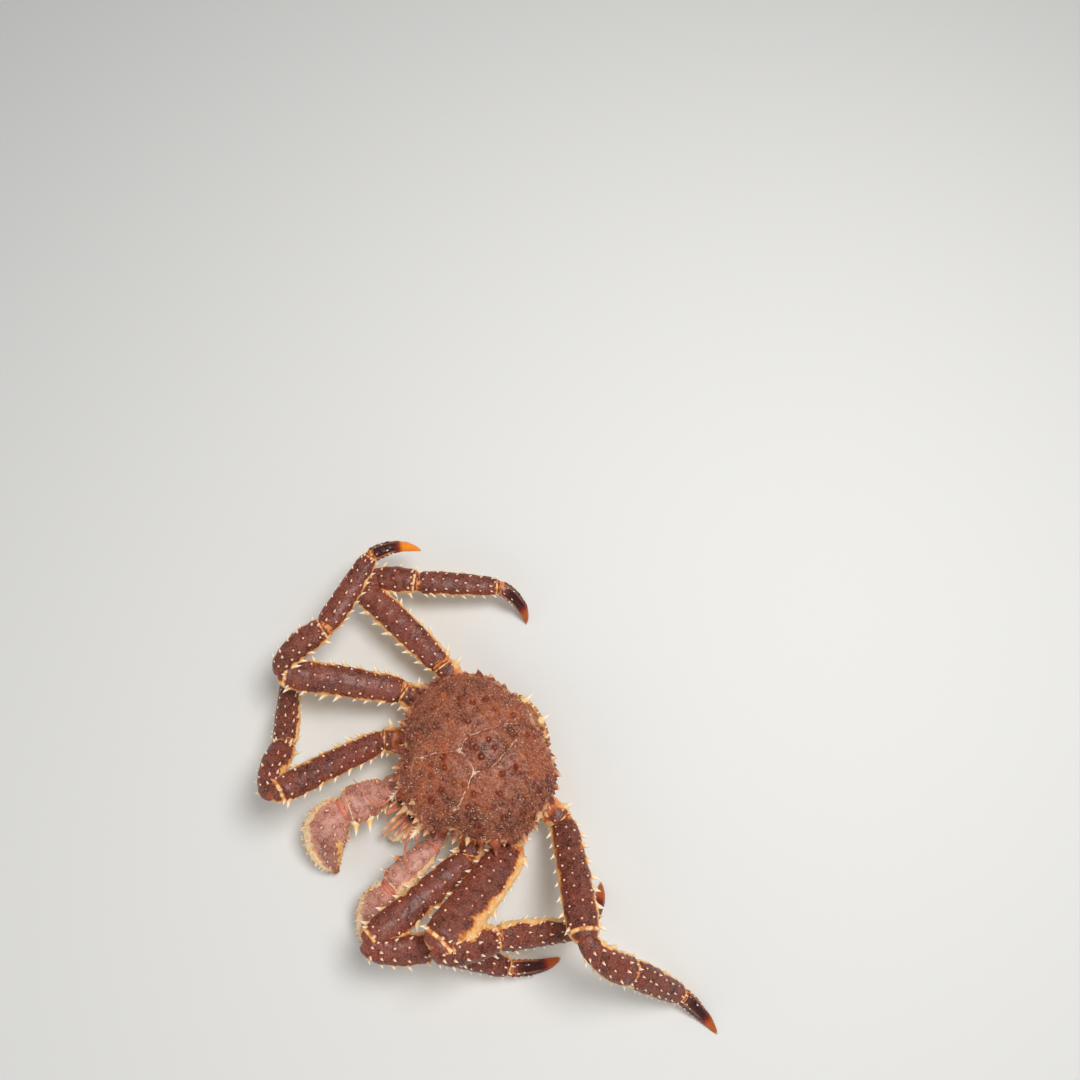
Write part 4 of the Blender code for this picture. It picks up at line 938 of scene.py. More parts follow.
def margin_spines():
    """Sharp spines round the margin, large and small in turn, longer in front, and the beak with its pair."""
    source = chance("margin spines")
    angle = np.linspace(0, math.pi, 721)
    x, y = from_middle(angle, outline_radius(angle))
    travelled = np.concatenate(([0], np.cumsum(np.hypot(np.diff(x), np.diff(y)))))
    marks = np.arange(MARGIN_SPINE_START, travelled[-1] - 4, MARGIN_SPINE_STEP)
    marks = marks + source.uniform(-1.2, 1.2, len(marks))
    x, y = np.interp(marks, travelled, x), np.interp(marks, travelled, y)
    in_turn = np.where(np.arange(len(marks)) % 2 == 1, 1.0, 0.45)
    sizes = in_turn * np.where(y < 10, 1.15, 0.8) * source.uniform(0.8, 1.15, len(marks))
    roots, ways, lengths = [], [], []
    for side in (1, -1):
        out = unit(points_of(side * x, y))
        roots.append(points_of(side * x, y, MARGIN_Z + 0.6) - out)
        ways.append(unit(out + (0, -0.18, 0.3)))
        lengths.append(sizes * source.uniform(0.85, 1.15, len(sizes)))
    roots, ways, sizes = np.concatenate(roots), np.concatenate(ways), np.concatenate(lengths)
    redness = (source.uniform(0, 1, len(sizes)) < 0.3) * 0.8
    pale = source.uniform(0.1, 1.0, len(sizes)) * (1 - redness)
    length, radius = MARGIN_SPINE
    curl = np.tile((0, -0.08, 0.1), (len(sizes), 1))
    masks = {"pale": pale, "ring": redness, "bright": 1 - redness}
    edge = cones(roots, ways, length * sizes, radius * sizes ** 0.8, 14, MARGIN_PROFILE, curl, masks)
    rise = edge.masks["rise"]
    edge.masks["pale"] *= fade(rise + 0.25 * ripple(edge.points, 5.0, "margin points"), 0.0, 0.8)
    edge.masks["ring"] *= fade(rise + 0.3 * ripple(edge.points, 6.0, "margin reds"), -0.3, 0.5)
    roots, ways, lengths, radii = (np.array(column, float) for column in zip(*BEAK))
    roots[-1, 2] = back_height(*roots[-1, :2])
    return [edge, cones(roots, ways, lengths, radii, 16, masks={"pale": 0.6})]


def rim_grains():
    """Grains on the side of the shell's rim, each at an angle and a height by chance."""
    source = chance("rim grains")
    angle = source.uniform(0, TURN, RIM_GRAINS)
    height = source.uniform(RIM_LOW_Z, MARGIN_Z - 0.6, RIM_GRAINS)
    radius = outline_radius(angle) * np.interp(height, (RIM_LOW_Z, RIM_TOP_Z), (RIM_LOW_SHARE, 1.0))
    ways = points_of(*from_middle(angle, 1.0))
    roots = radius[:, None] * ways + height[:, None] * UP
    sizes = source.uniform(0.4, 0.9, RIM_GRAINS)
    return grains(roots, ways - 0.2 * UP, sizes, source, {"grain": 0.8, "pale": 0.5})


def make_thorax(finish):
    """The body under the shell: the outline drawn in towards the belly, grooved between the limbs' roots."""
    heights, widths, lengths = np.array(THORAX_RINGS).T
    rows, columns = THORAX_GRID
    z = np.linspace(heights[0], heights[-1], rows)[:, None]
    angle = round_angles(columns)[None, :]
    x, y = from_middle(angle, outline_radius(angle))
    x, y = x * np.interp(z, heights, widths), y * np.interp(z, heights, lengths)
    grid = points_of(x, y, z)
    turn = angle + 0.07 * ripple(grid, 24.0, "thorax ribs") + 0.02 * ripple(grid, 7.0, "thorax rib edges")
    rib = np.abs(np.sin(turn * 5.0 + 0.012 * (z - 30))) ** 0.45
    wave = z + 2.6 * ripple(grid, 17.0, "thorax folds") + 3.0 * np.sin(turn * 10)
    fold = 0.5 + 0.5 * np.sin(wave * 0.42)
    dip = 2.4 * (1 - rib) * fade(z, 10, 20) + 0.5 * fold + 0.35 * ripple(grid, 9.0, "thorax lumps")
    grid = grid - unit(points_of(x, y)) * np.maximum(dip, 0)[..., None]
    high = fade(z + 3.0 * ripple(grid, 9.0, "thorax top"), 33, 43)
    pale = (0.74 + 0.1 * fold + 0.12 * ripple(grid, 8.0, "thorax clouds")) * (1 - 0.85 * high)
    masks = {"pale": pale, "joint": 0.4 * (1 - fade(rib, 0.2, 0.5)) * (1 - high)}
    body = closed(grid, np.array((0, 0, heights[0])), np.array((0, 0, heights[-1])), masks)
    piece("thorax_skin", body, finish, "underside", "thorax")


def flap_places(angle, share):
    """Places on the flap's egg-shaped outline, at angles from its front end, drawn in to a share of it."""
    along = -np.cos(angle)
    width = FLAP_HALF_WIDTH * (1 - FLAP_TAPER + FLAP_TAPER * along)
    middle, half = (FLAP_FRONT + FLAP_BACK) / 2, (FLAP_BACK - FLAP_FRONT) / 2
    return share * width * np.sin(angle), middle + share * half * along


def make_flap(finish):
    """The folded tail's flap of plates under the body, an oval that narrows forwards, with its nodules."""
    heights, shares = np.array(FLAP_RINGS).T
    rows, columns = FLAP_GRID
    z = np.linspace(heights[0], heights[-1], rows)[:, None]
    angle = round_angles(columns)[None, :]
    seam = np.abs(np.cos(math.pi * FLAP_PLATES * (1 - np.cos(angle)) / 2)) ** 16
    fold = hump(z + 1.2 * np.sin(2 * angle), FLAP_FOLD, 0.7)
    drawn_in = (0.05 * seam + 0.025 * fold) * fade(z, 0.2, 1.5)
    grid = points_of(*flap_places(angle, np.interp(z, heights, shares) * (1 - drawn_in)), z)
    grid[..., :2] *= 1 + (0.016 * ripple(grid, 9.0, "flap edge") * fade(z, 0.2, 2.0))[..., None]
    top = fade(z + ripple(grid, 8.0, "flap tops"), 4.0, 12.0)
    pale = 0.76 + 0.14 * ripple(grid, 9.0, "flap clouds") - 0.45 * top
    _, middle = flap_places(0.5 * math.pi, 1.0)
    first, last = np.array((0, middle, heights[0])), np.array((0, middle, heights[-1]))
    body = closed(grid, first, last, {"pale": pale, "joint": np.maximum(0.5 * seam, 0.45 * fold)})
    source = chance("flap nodules")
    turns, rises = source.uniform(0, TURN, FLAP_NODULES), source.uniform(1.6, 11.0, FLAP_NODULES)
    roots = points_of(*flap_places(turns, np.interp(rises, heights, shares)), rises)
    sizes = source.uniform(0.5, 1.5, FLAP_NODULES)
    nodules = grains(roots, points_of(*from_middle(turns, 1.0)), sizes, source, {"pale": 0.7})
    piece("tail_flap_plates", joined([body, nodules]), finish, "underside", "tail_flap")


def make_tail(finish):
    """The tail's first plates behind the body: an oval tube across it, stepped into plates, with spines."""
    limb = Limb((TAIL_X - TAIL_HALF_WIDTH, TAIL_Y, TAIL_Z), (TAIL_X + TAIL_HALF_WIDTH, TAIL_Y, TAIL_Z),
                (TAIL_HALF_WIDTH, TAIL_BOW, 0), TAIL_STATIONS)
    rows, columns = TAIL_GRID
    t, angle = np.broadcast_arrays(np.linspace(0, 1, rows)[:, None], round_angles(columns)[None, :])
    base = limb.skin(t, angle)
    bend = EDGE_BEND * np.sin(math.pi * t)
    lap = plate_lap(np.degrees(angle) + bend + 3.5 * ripple(base, 13.0, "tail edges"))
    seam = np.abs(np.cos(math.pi * (1.5 * t + 0.25 * np.sin(TURN * t)))) ** 30
    lift = 0.4 * ripple(base, 10.0, "tail lumps") + 0.15 * ripple(base, 3.0, "tail grain")
    lift = lift + PLATE_STEP * lap - seam
    worn = fade(ripple(base, 6.0, "tail worn edges"), -0.8, 0.7)
    blotch = 0.4 * fade(ripple(base, 9.0, "tail blotches") + ripple(base, 30.0, "tail sides"), 0.2, 1.8)
    pale = blotch + 0.75 * worn * np.maximum(lap ** 12, 0.4 * seam)
    first, last = limb.axis(0.0) - (1.5, 0, 0), limb.axis(1.0) + (1.5, 0, 0)
    body = closed(limb.skin(t, angle, lift), first, last, {"pale": pale})
    places, lengths, radii = np.array(TAIL_SPINES).T
    turns = np.full(len(places), math.radians(TAIL_SPINE_ANGLE))
    ways = unit(limb.outward(places, turns) + (0, 1.2, 0))
    source = chance("tail grains")
    parts = [body, cones(limb.skin(places, turns), ways, lengths, radii, 16, masks={"pale": 1.0})]
    for edge in PLATE_EDGES[1:-1]:
        spots = source.uniform(0.1, 0.9, PLATE_SPINES)
        spins = np.radians(edge - 3 - EDGE_BEND * np.sin(math.pi * spots))
        sizes = source.uniform(0.5, 1.5, PLATE_SPINES)
        heads = limb.outward(spots, spins) + (0, 0.5, -0.4)
        masks = {"pale": 0.5, "bright": 0.5 * sizes[0]}
        roots = limb.skin(spots, spins, 0.6 * PLATE_STEP)
        parts.append(cones(roots, heads, 2.4 * sizes, 1.2 * sizes, 10, masks=masks))
        spots, spins = np.array((0.055, 0.945)), np.radians(np.full(2, edge - 5.0))
        heads = limb.outward(spots, spins) + np.array(((-1.3, 0, -0.3), (1.3, 0, -0.3)))
        lengths = source.uniform(1.4, 3.4, 2)
        parts.append(cones(limb.skin(spots, spins), heads, lengths, np.full(2, 2.6), 12, MARGIN_PROFILE,
                           masks={"pale": 0.25, "bright": 0.1}))
    low, high = np.radians(TAIL_GRAIN_ANGLES)
    spots, spins = source.uniform(0.05, 0.95, TAIL_GRAINS), source.uniform(low, high, TAIL_GRAINS)
    lift = PLATE_STEP * plate_lap(np.degrees(spins) + EDGE_BEND * np.sin(math.pi * spots))
    sizes = source.uniform(0.35, 0.8, TAIL_GRAINS)
    parts.append(grains(limb.skin(spots, spins, lift), limb.outward(spots, spins), sizes, source))
    piece("tail_plates", joined(parts), finish, "shell", "tail_base")


def plate_lap(degrees):
    """Plates that overlap round the tail: 0 where one comes out from under the last, 1 on its free edge."""
    places = [edge + step for edge in PLATE_EDGES for step in (-1.6, 1.6)]
    heights = [1.0, 0.0] * len(PLATE_EDGES)
    heights[0] = heights[-1] = 0.0
    return np.interp(degrees, places, heights)


def leg_limbs(name):
    """The five segments of a walking leg, from its pose."""
    pair = int(name[-1])
    handed = 1 if name.startswith("left") else -1
    start, *angles = LEG_POSES[name]
    root = np.array(COXA[pair], float) * (handed, 1, 1)
    at = np.array(start, float)
    limbs = {"ischium": Limb(root, at, (at - root) * 0.5, STATIONS["ischium"], handed)}
    ahead = unit(at - root)
    for kind, length, (yaw, pitch) in zip(SEGMENTS, LENGTHS[pair], angles):
        if pitch is None:
            pitch = math.degrees(math.asin((TIP_Z - at[2]) / length))
        y, p = math.radians(yaw), math.radians(pitch)
        way = np.array((math.cos(p) * math.cos(y), math.cos(p) * math.sin(y), math.sin(p)))
        end = at + way * length
        hook = way * (BEND_AT * length) + ahead * HOOK[kind]
        breadth = MERUS_BREADTH[name] if kind == "merus" else 1.0
        limbs[kind] = Limb(at, end, hook, STATIONS[kind], handed, breadth=breadth)
        at, ahead = end, way
    return limbs


def make_leg(name, finishes):
    """A walking leg: its five segments and the soft skin of its four joints."""
    limbs = leg_limbs(name)
    for kind, limb in limbs.items():
        slot = "tip" if kind == "dactyl" else "limb"
        # The propodus takes a darker copy of the limb's finish: painted shade
        finish = finishes["far_limb_painted_shade" if kind == "propodus" else slot]
        node = f"{name}_{kind}"
        amber = AMBER.get(name, AMBER_ELSEWHERE)
        patch = limb_patch(node, limb, kind, SPINE_ROWS[kind], LIMB_GRAINS[kind], amber,
                           PALE_TURN.get(name, 0.0))
        piece(node + "_plate", patch, finish, slot, node)
    piece(name + "_collar", collar(name, limbs["ischium"]), finishes["underside"], "underside")
    chain = list(limbs.values())
    skins = joined([sleeve(near, far, redness, size)
                    for near, far, redness, size in zip(chain, chain[1:], JOINT_REDNESS, JOINT_SIZE)])
    piece(name + "_joint_skin", skins, finishes["skin"], "limb")


def collar(name, limb):
    """The rim of a leg's root joint: the segment's section, widened and turned in, with spines on it."""
    angle = round_angles(72)
    places, shares = np.array(COLLAR).T
    fine = np.linspace(0, len(COLLAR) - 1, 40)
    steps = np.arange(len(COLLAR))
    places, shares = np.interp(fine, steps, places), np.interp(fine, steps, shares)
    t, turn = np.broadcast_arrays(places[:, None], angle[None])
    middle = limb.axis(t)
    skin = limb.skin(t, turn)
    grid = middle + (skin - middle) * shares[:, None, None]
    grid = grid + unit(skin - middle) * (0.4 * ripple(grid, 6.0, name + " collar"))[..., None]
    pale = fade(0.5 - np.sin(turn) + 0.35 * ripple(grid, 9.0, name + " collar sides"), -0.35, 0.5)
    masks = {"pale": pale, "joint": 0.9 * fade(shares, 1.28, 1.0)[:, None]}
    body = closed(grid, grid[0].mean(axis=0), grid[-1].mean(axis=0), masks)
    turns, lengths, radii = np.array(COLLAR_SPINES).T
    turns = np.radians(turns)
    seats = np.full(len(turns), 0.5)
    roots = limb.axis(seats) + (limb.skin(seats, turns) - limb.axis(seats)) * 1.24
    ways = limb.outward(seats, turns) + 0.8 * limb.tangent(seats)
    return joined([body, cones(roots, ways, lengths, radii, 12, masks={"pale": 1.0})])


def claw_limbs(side):
    """The segments of a claw limb. The movable finger lies on the fixed one, which is the end of the hand."""
    handed = 1 if side == "left" else -1
    at = {name: np.array(point, float) for name, point in CLAW_POSES[side].items()}
    scale = CLAW_SCALE[side]

    def straight(kind, first, last):
        """A segment without a bend between two points of the pose."""
        return Limb(at[first], at[last], (at[last] - at[first]) * 0.5, CLAW_STATIONS[kind], handed, scale)

    hook = (at["finger_tip"] - at["finger"]) * 0.5 + np.array(FINGER_BOW)
    return {
        "ischium": straight("ischium", "coxa", "merus"),
        "merus": straight("merus", "merus", "carpus"),
        "carpus": straight("carpus", "carpus", "wrist"),
        "hand": Limb(at["wrist"], at["tip"], at["bend"] - at["wrist"], CLAW_STATIONS["hand"], 1, scale),
        "finger": Limb(at["finger"], at["finger_tip"], hook, CLAW_STATIONS["finger"], 1, scale),
    }


def make_claw(side, finishes):
    """A claw limb: its five segments and the soft skin of its joints."""
    limbs = claw_limbs(side)
    for kind, limb in limbs.items():
        node = f"{side}_claw_{kind}"
        horn = 1.0 if kind in ("hand", "finger") else 0.0
        patch = limb_patch(node, limb, kind, CLAW_SPINE_ROWS[kind], CLAW_GRAINS[kind], horn,
                           PALE_TURN.get(node, 0.0), CLAW_SCALE[side], True)
        piece(node + "_plate", patch, finishes["finger" if kind == "finger" else "claw"], "claw", node)
    chain = [limbs[kind] for kind in ("ischium", "merus", "carpus", "hand")]
    skins = joined([sleeve(near, far) for near, far in zip(chain, chain[1:])])
    piece(f"{side}_claw_joint_skin", skins, finishes["claw_skin"], "claw")


def make_eye(side, finishes):
    """An eye, a ball, on its tapering stalk with two small spines."""
    sign = 1 if side == "left" else -1
    root, eye = (np.array((sign * x, y, z), float) for x, y, z in EYE_STALK)
    thick, thin = EYE_STALK_RADII
    radii = (thick, (thick + thin) / 2, thin)
    stalk = tube((root, (root + eye) / 2, eye), radii, 40, 32, masks={"pale": 1.0})
    roots = np.array((eye + (0, 4, 2.2), eye + (sign * 1.5, 7, 2.6)))
    ways = np.array(((0, -0.6, 1), (0, -0.4, 1.0)))
    spikes = cones(roots, ways, np.array((2.4, 2.0)), np.array((1.0, 0.9)), masks={"pale": 1.0})
    skin = joined([stalk, spikes])
    piece(f"{side}_eye_stalk_skin", skin, finishes["mouth"], "underside", f"{side}_eye_stalk")
    t = np.linspace(0, math.pi, 41)[1:-1, None]
    a = round_angles(64)[None, :]
    ball = points_of(np.sin(t) * np.cos(a), np.sin(t) * np.sin(a), np.cos(t))
    eyeball = closed(eye + ball * EYE_RADIUS, eye + UP * EYE_RADIUS, eye - UP * EYE_RADIUS, {"along": 0.0})
    piece(f"{side}_eyeball", eyeball, finishes["eye"], "eye", f"{side}_eye")


def make_feelers(side, finish):
    """The large feeler, a jointed stem with a barbed scale and a beaded lash, and the small hairy one."""
    base, tip = (np.array(p, float) for p in FEELER_BASE[side])
    stem = tube((base, (base + tip) / 2, tip), (4.4, 4.4, 3.9, 3.0, 2.2), 90, 40, joints=(0.42, 0.66, 0.86),
                masks={"pale": 0.3})
    anchor = base + (tip - base) * FEELER_SCALE_AT + (0, 0, FEELER_SCALE_LIFT)
    way = unit(np.array(FEELER_SCALE[side]))
    length, radius = FEELER_SCALE_SIZE
    blade = cones(anchor[None], way[None], np.array((length,)), np.array((radius,)), 20, masks={"pale": 1.0})
    edges = [(s, e) for s in FEELER_BARBS for e in (1, -1)]
    roots = np.array([anchor + way * length * s + (e * radius * (1 - s) * 0.6, 0, 0) for s, e in edges])
    ways = np.array([unit(way + (e * 0.8, 0, 0.2)) for s, e in edges])
    barbs = cones(roots, ways, np.full(len(edges), 4.0), np.full(len(edges), 1.1), 10, masks={"pale": 1.0})
    piece(f"{side}_feeler_stem", joined([stem, blade, barbs]), finish, "feeler", f"{side}_feeler_base")
    whip = tube(FEELER_WHIP[side], FEELER_WHIP_RADII, 260, 12, beads=65)
    piece(f"{side}_feeler_lash", whip, finish, "feeler", f"{side}_feeler_whip")
    path = SMALL_FEELER[side]
    small = tube(path, SMALL_FEELER_RADII, 120, 20, joints=(0.3, 0.55))
    hairs = fringe(path, 90, 0.62, 0.98, 3.2, 0.16, 30, f"{side} small feeler")
    piece(f"{side}_small_feeler_stem", joined([small, hairs]), finish, "feeler", f"{side}_small_feeler")


def make_jaw_foot(side, finish):
    """The large mouth limb of one side: a flattened jointed tube with a thick fringe of hair."""
    path = JAW_FOOT[side]
    joints = (0.34, 0.56, 0.78)
    foot = tube(path, JAW_FOOT_RADII, 150, 40, flat=0.8, joints=joints, depth=0.3, masks={"pale": 0.8})
    hairs = fringe(path, 420, 0.3, 0.99, 4.6, 0.2, 75, f"{side} jaw foot", 0.9)
    piece(f"{side}_jaw_foot_limb", joined([foot, hairs]), finish, "feeler", f"{side}_jaw_foot")


def make_mouth(finish):
    """The smaller mouth limbs between the jaw feet and the beak: slim palps with hair at their ends."""
    parts = []
    ripen = np.linspace(0.1, 1.0, 80)[:, None]
    waves = chance("palp patches").uniform(0, TURN, len(PALPS))
    for k, (path, thick, pale, hair) in enumerate(PALPS):
        patches = 0.6 + 0.4 * np.sin(ripen * 26 + waves[k])
        parts.append(tube(path, (thick, thick * 1.15, thick * 0.8, thick * 0.3), 80, 18, flat=0.6,
                          joints=(0.36, 0.6, 0.8), depth=0.34, masks={"pale": pale * ripen * patches}))
        parts.append(fringe(path, 150, 0.55, 0.99, hair, 0.16, 95, f"palp {k}", pale))
    piece("mouth_palps", joined(parts), finish, "feeler")


def make_face(finish):
    """The plates round the mouth: flattened tubes along short curves, mirrored, with rows of small spines."""
    parts = []
    lumps = 0.5 + 0.5 * np.sin(np.linspace(0, 14, 70))[:, None]
    masks = {"pale": 0.35 + 0.5 * lumps, "joint": 0.4 * (1 - lumps)}
    for side in (1, -1):
        for k, (path, radii, flat, spines) in enumerate(FACE_PLATES):
            path = [(side * x, y, z) for x, y, z in path]
            parts.append(tube(path, radii, len(lumps), 36, flat=flat, masks=masks))
            curve, ahead = through(path, 60)
            spots = np.linspace(12, 54, spines).astype(int)
            ways = unit(np.array((side * 0.3, -1.0, 0.35)) + 0.3 * ahead[spots])
            sizes = chance(f"face {k} {side}").uniform(0.7, 1.2, spines)
            roots = curve[spots] + ways * radii[1] * 0.6
            parts.append(cones(roots, ways, 3.4 * sizes, 1.3 * sizes, 10, masks={"pale": 1.0}))
    piece("face_plates", joined(parts), finish, "underside")


def put(tree, kind, inputs=None, **settings):
    """A node with its settings, and its inputs set to values or linked to sockets."""
    node = tree.nodes.new(kind)
    for key, value in settings.items():
        setattr(node, key, value)
    for key, value in (inputs or {}).items():
        if isinstance(value, bpy.types.NodeSocket):
            tree.links.new(value, node.inputs[key])
        else:
            node.inputs[key].default_value = value
    return node


def mixed(tree, factor, a, b):
    """The colour a, turning to b by the factor."""
    a, b = ((*c, 1.0) if isinstance(c, tuple) else c for c in (a, b))
    return put(tree, "ShaderNodeMix", {0: factor, 6: a, 7: b}, data_type="RGBA", clamp_factor=True).outputs[2]


def stepped(tree, value, low, high, bottom=0.0, top=1.0):
    """The value, stretched from low to high onto bottom to top with soft ends."""
    return put(tree, "ShaderNodeMapRange", {0: value, 1: low, 2: high, 3: bottom, 4: top},
               interpolation_type="SMOOTHSTEP").outputs[0]


def maths(tree, operation, a, b, clamp=False):
    """One sum."""
    return put(tree, "ShaderNodeMath", {0: a, 1: b}, operation=operation, use_clamp=clamp).outputs[0]


def group(name, inputs, outputs, fill):
    """A shader node group with these sockets, filled by a function."""
    tree = bpy.data.node_groups.new(name, "ShaderNodeTree")
    for socket, kind in inputs:
        tree.interface.new_socket(socket, in_out="INPUT", socket_type=kind)
    for socket in outputs:
        tree.interface.new_socket(socket, in_out="OUTPUT", socket_type="NodeSocketFloat")
    entry = tree.nodes.new("NodeGroupInput")
    leave = tree.nodes.new("NodeGroupOutput")
    for socket, value in fill(tree, entry.outputs).items():
        tree.links.new(value, leave.inputs[socket])
    return tree


def fill_mottle(tree, given):
    """Broad blotches, middle clouds and fine flecks of the shell's pigment."""
    inputs = {"Vector": given["Vector"], "Scale": given["Scale"], "Detail": 3.0}
    broad = put(tree, "ShaderNodeTexNoise", inputs)
    finer = maths(tree, "MULTIPLY", given["Scale"], 4.0)
    middle = put(tree, "ShaderNodeTexNoise", {"Vector": given["Vector"], "Scale": finer, "Detail": 4.0})
    finest = maths(tree, "MULTIPLY", given["Scale"], 19.0)
    flecks = put(tree, "ShaderNodeTexNoise", {"Vector": given["Vector"], "Scale": finest, "Detail": 2.0})
    return {
        "Broad": stepped(tree, broad.outputs[0], 0.38, 0.62),
        "Middle": stepped(tree, middle.outputs[0], 0.36, 0.64),
        "Flecks": stepped(tree, flecks.outputs[0], 0.4, 0.66),
    }


def fill_relief(tree, given):
    """The height of fine pores and pimples: close round cells over a soft noise."""
    inputs = {"Vector": given["Vector"], "Scale": given["Scale"]}
    cells = put(tree, "ShaderNodeTexVoronoi", inputs, feature="SMOOTH_F1")
    pimples = stepped(tree, cells.outputs["Distance"], 0.1, 0.55, 1.0, 0.0)
    finer = maths(tree, "MULTIPLY", given["Scale"], 2.6)
    grain = put(tree, "ShaderNodeTexNoise", {"Vector": given["Vector"], "Scale": finer, "Detail": 3.0})
    return {"Height": maths(tree, "ADD", pimples, maths(tree, "MULTIPLY", grain.outputs[0], 0.6))}


PATTERN_INPUTS = (("Vector", "NodeSocketVector"), ("Scale", "NodeSocketFloat"))
MOTTLE = group("shell_mottle", PATTERN_INPUTS, ("Broad", "Middle", "Flecks"), fill_mottle)
RELIEF = group("shell_relief", PATTERN_INPUTS, ("Height",), fill_relief)


def shell_finish(name, look):
    """The finish of a hard plate, in the colours and numbers of a look."""
    made = bpy.data.materials.new(name)
    made.use_nodes = True
    tree = made.node_tree
    shader = tree.nodes["Principled BSDF"]
    place = put(tree, "ShaderNodeTexCoord").outputs["Object"]
    mask = {key: put(tree, "ShaderNodeAttribute", attribute_name=key).outputs["Fac"] for key in MASKS}
    mottle = put(tree, "ShaderNodeGroup", node_tree=MOTTLE)
    relief = put(tree, "ShaderNodeGroup", node_tree=RELIEF)
    for node, scale in ((mottle, look["mottle"]), (relief, look["relief"])):
        tree.links.new(place, node.inputs["Vector"])
        node.inputs["Scale"].default_value = scale
    broad, middle, flecks = (mottle.outputs[key] for key in ("Broad", "Middle", "Flecks"))

    def times(a, b):
        """The product of the two."""
        return maths(tree, "MULTIPLY", a, b)

    def step(key, *limits):
        """A mask stretched between limits."""
        return stepped(tree, mask[key], *limits)

    def over(factor, top):
        """The colour so far, turning to the top one by the factor."""
        return mixed(tree, factor, colour, top)

    colour = mixed(tree, broad, look["dark"], look["light"])
    colour = over(times(middle, 0.55), look["cloud"])
    colour = over(times(flecks, look["fleck_share"]), look["fleck"])
    edge = mixed(tree, times(middle, 0.5), look["edge"], look["edge_two"])
    colour = over(step("pale", 0.05, 0.4), look["edge_two"])
    colour = over(step("pale", 0.3, 0.75), edge)
    colour = over(step("pale", 0.72, 1.0, 0.0, 0.85), look["belly"])
    colour = over(times(mask["joint"], 0.9), look["joint"])
    colour = over(times(step("ring", 0.0, 0.2), times(broad, look["halo"])), look["joint"])
    ring = times(step("ring", 0.1, 0.9), look["ring_share"])
    pale = step("pale", 0.1, 0.5)
    colour = over(ring, mixed(tree, pale, look["ring"], look["pale_ring"]))
    grain = mixed(tree, pale, look["grain"], look["belly"])
    colour = over(times(mask["grain"], look["grain_share"]), grain)
    colour = over(mask["line"], look["line"])
    spine = mixed(tree, mask["pale"], look["spine"], look["edge_spine"])
    spine = mixed(tree, times(mask["ring"], 0.8), spine, look["ring_spine"])
    colour = over(step("rise", *look["spine_from"]), spine)
    # Pale points at the spines' tips: the limbs' white points, and on the back's spines partly a painted
    # highlight
    colour = over(times(step("rise", *look["tip_from"]), mask["bright"]), look["tip"])
    if "far" in look:
        colour = tip_bands(tree, colour, mask, flecks, look)
    if "horn" in look:
        worn = maths(tree, "ADD", mask["along"], times(flecks, 0.04))
        colour = over(times(stepped(tree, worn, 0.93, 0.99), mask["amber"]), look["horn"])
    tree.links.new(colour, shader.inputs["Base Color"])
    tree.links.new(maths(tree, "ADD", look["rough"], times(middle, 0.14)), shader.inputs["Roughness"])
    shader.inputs["Coat Weight"].default_value = look["coat"]
    shader.inputs["Coat Roughness"].default_value = 0.22
    shader.inputs["Specular IOR Level"].default_value = look["gleam"]
    inputs = {"Strength": look["bump"], "Distance": 0.0006, "Height": relief.outputs["Height"]}
    bump = put(tree, "ShaderNodeBump", inputs)
    tree.links.new(bump.outputs[0], shader.inputs["Normal"])
    return made


def tip_bands(tree, colour, mask, flecks, look):
    """The walking tip's bands: the plate's colour, nearly black, then red and amber to the point."""
    along = maths(tree, "ADD", mask["along"], maths(tree, "MULTIPLY", flecks, 0.03))
    along = maths(tree, "ADD", along, maths(tree, "MULTIPLY", mask["amber"], 0.16))
    back = maths(tree, "SUBTRACT", 1.0, maths(tree, "MULTIPLY", mask["pale"], 0.9), clamp=True)
    dark = maths(tree, "MULTIPLY", stepped(tree, along, 0.04, 0.3), back)
    body = mixed(tree, dark, colour, look["far"])
    body = mixed(tree, stepped(tree, along, 0.56, 0.72), body, look["far_red"])
    amber = maths(tree, "MULTIPLY", stepped(tree, along, 0.66, 0.8), mask["amber"])
    body = mixed(tree, amber, body, look["far_amber"])
    body = mixed(tree, stepped(tree, mask["along"], 0.93, 0.99), body, look["far_point"])
    return mixed(tree, stepped(tree, mask["rise"], 0.02, 0.2), body, colour)


WHITE = (0.96, 0.84, 0.68)
BASE_LOOK = {
    "dark": (0.050, 0.005, 0.0025), "light": (0.155, 0.023, 0.0125), "cloud": (0.245, 0.061, 0.036),
    "fleck": (0.49, 0.18, 0.11), "fleck_share": 0.36, "gleam": 0.3, "belly": (0.92, 0.72, 0.42),
    "edge": (0.93, 0.62, 0.26), "edge_two": (0.74, 0.25, 0.05), "ring": (0.20, 0.020, 0.008),
    "pale_ring": (0.86, 0.42, 0.14), "ring_share": 0.6, "joint": (0.76, 0.17, 0.02), "halo": 0.0,
    "grain": (0.62, 0.27, 0.13), "grain_share": 0.7, "line": (0.88, 0.58, 0.34), "tip_from": (0.12, 0.6),
    "spine_from": (0.0, 0.2), "spine": (0.78, 0.34, 0.12), "edge_spine": (0.94, 0.60, 0.23),
    "ring_spine": (0.50, 0.08, 0.025), "tip": WHITE, "mottle": 42.0, "relief": 900.0, "rough": 0.36,
    "coat": 0.15, "bump": 0.4,
}
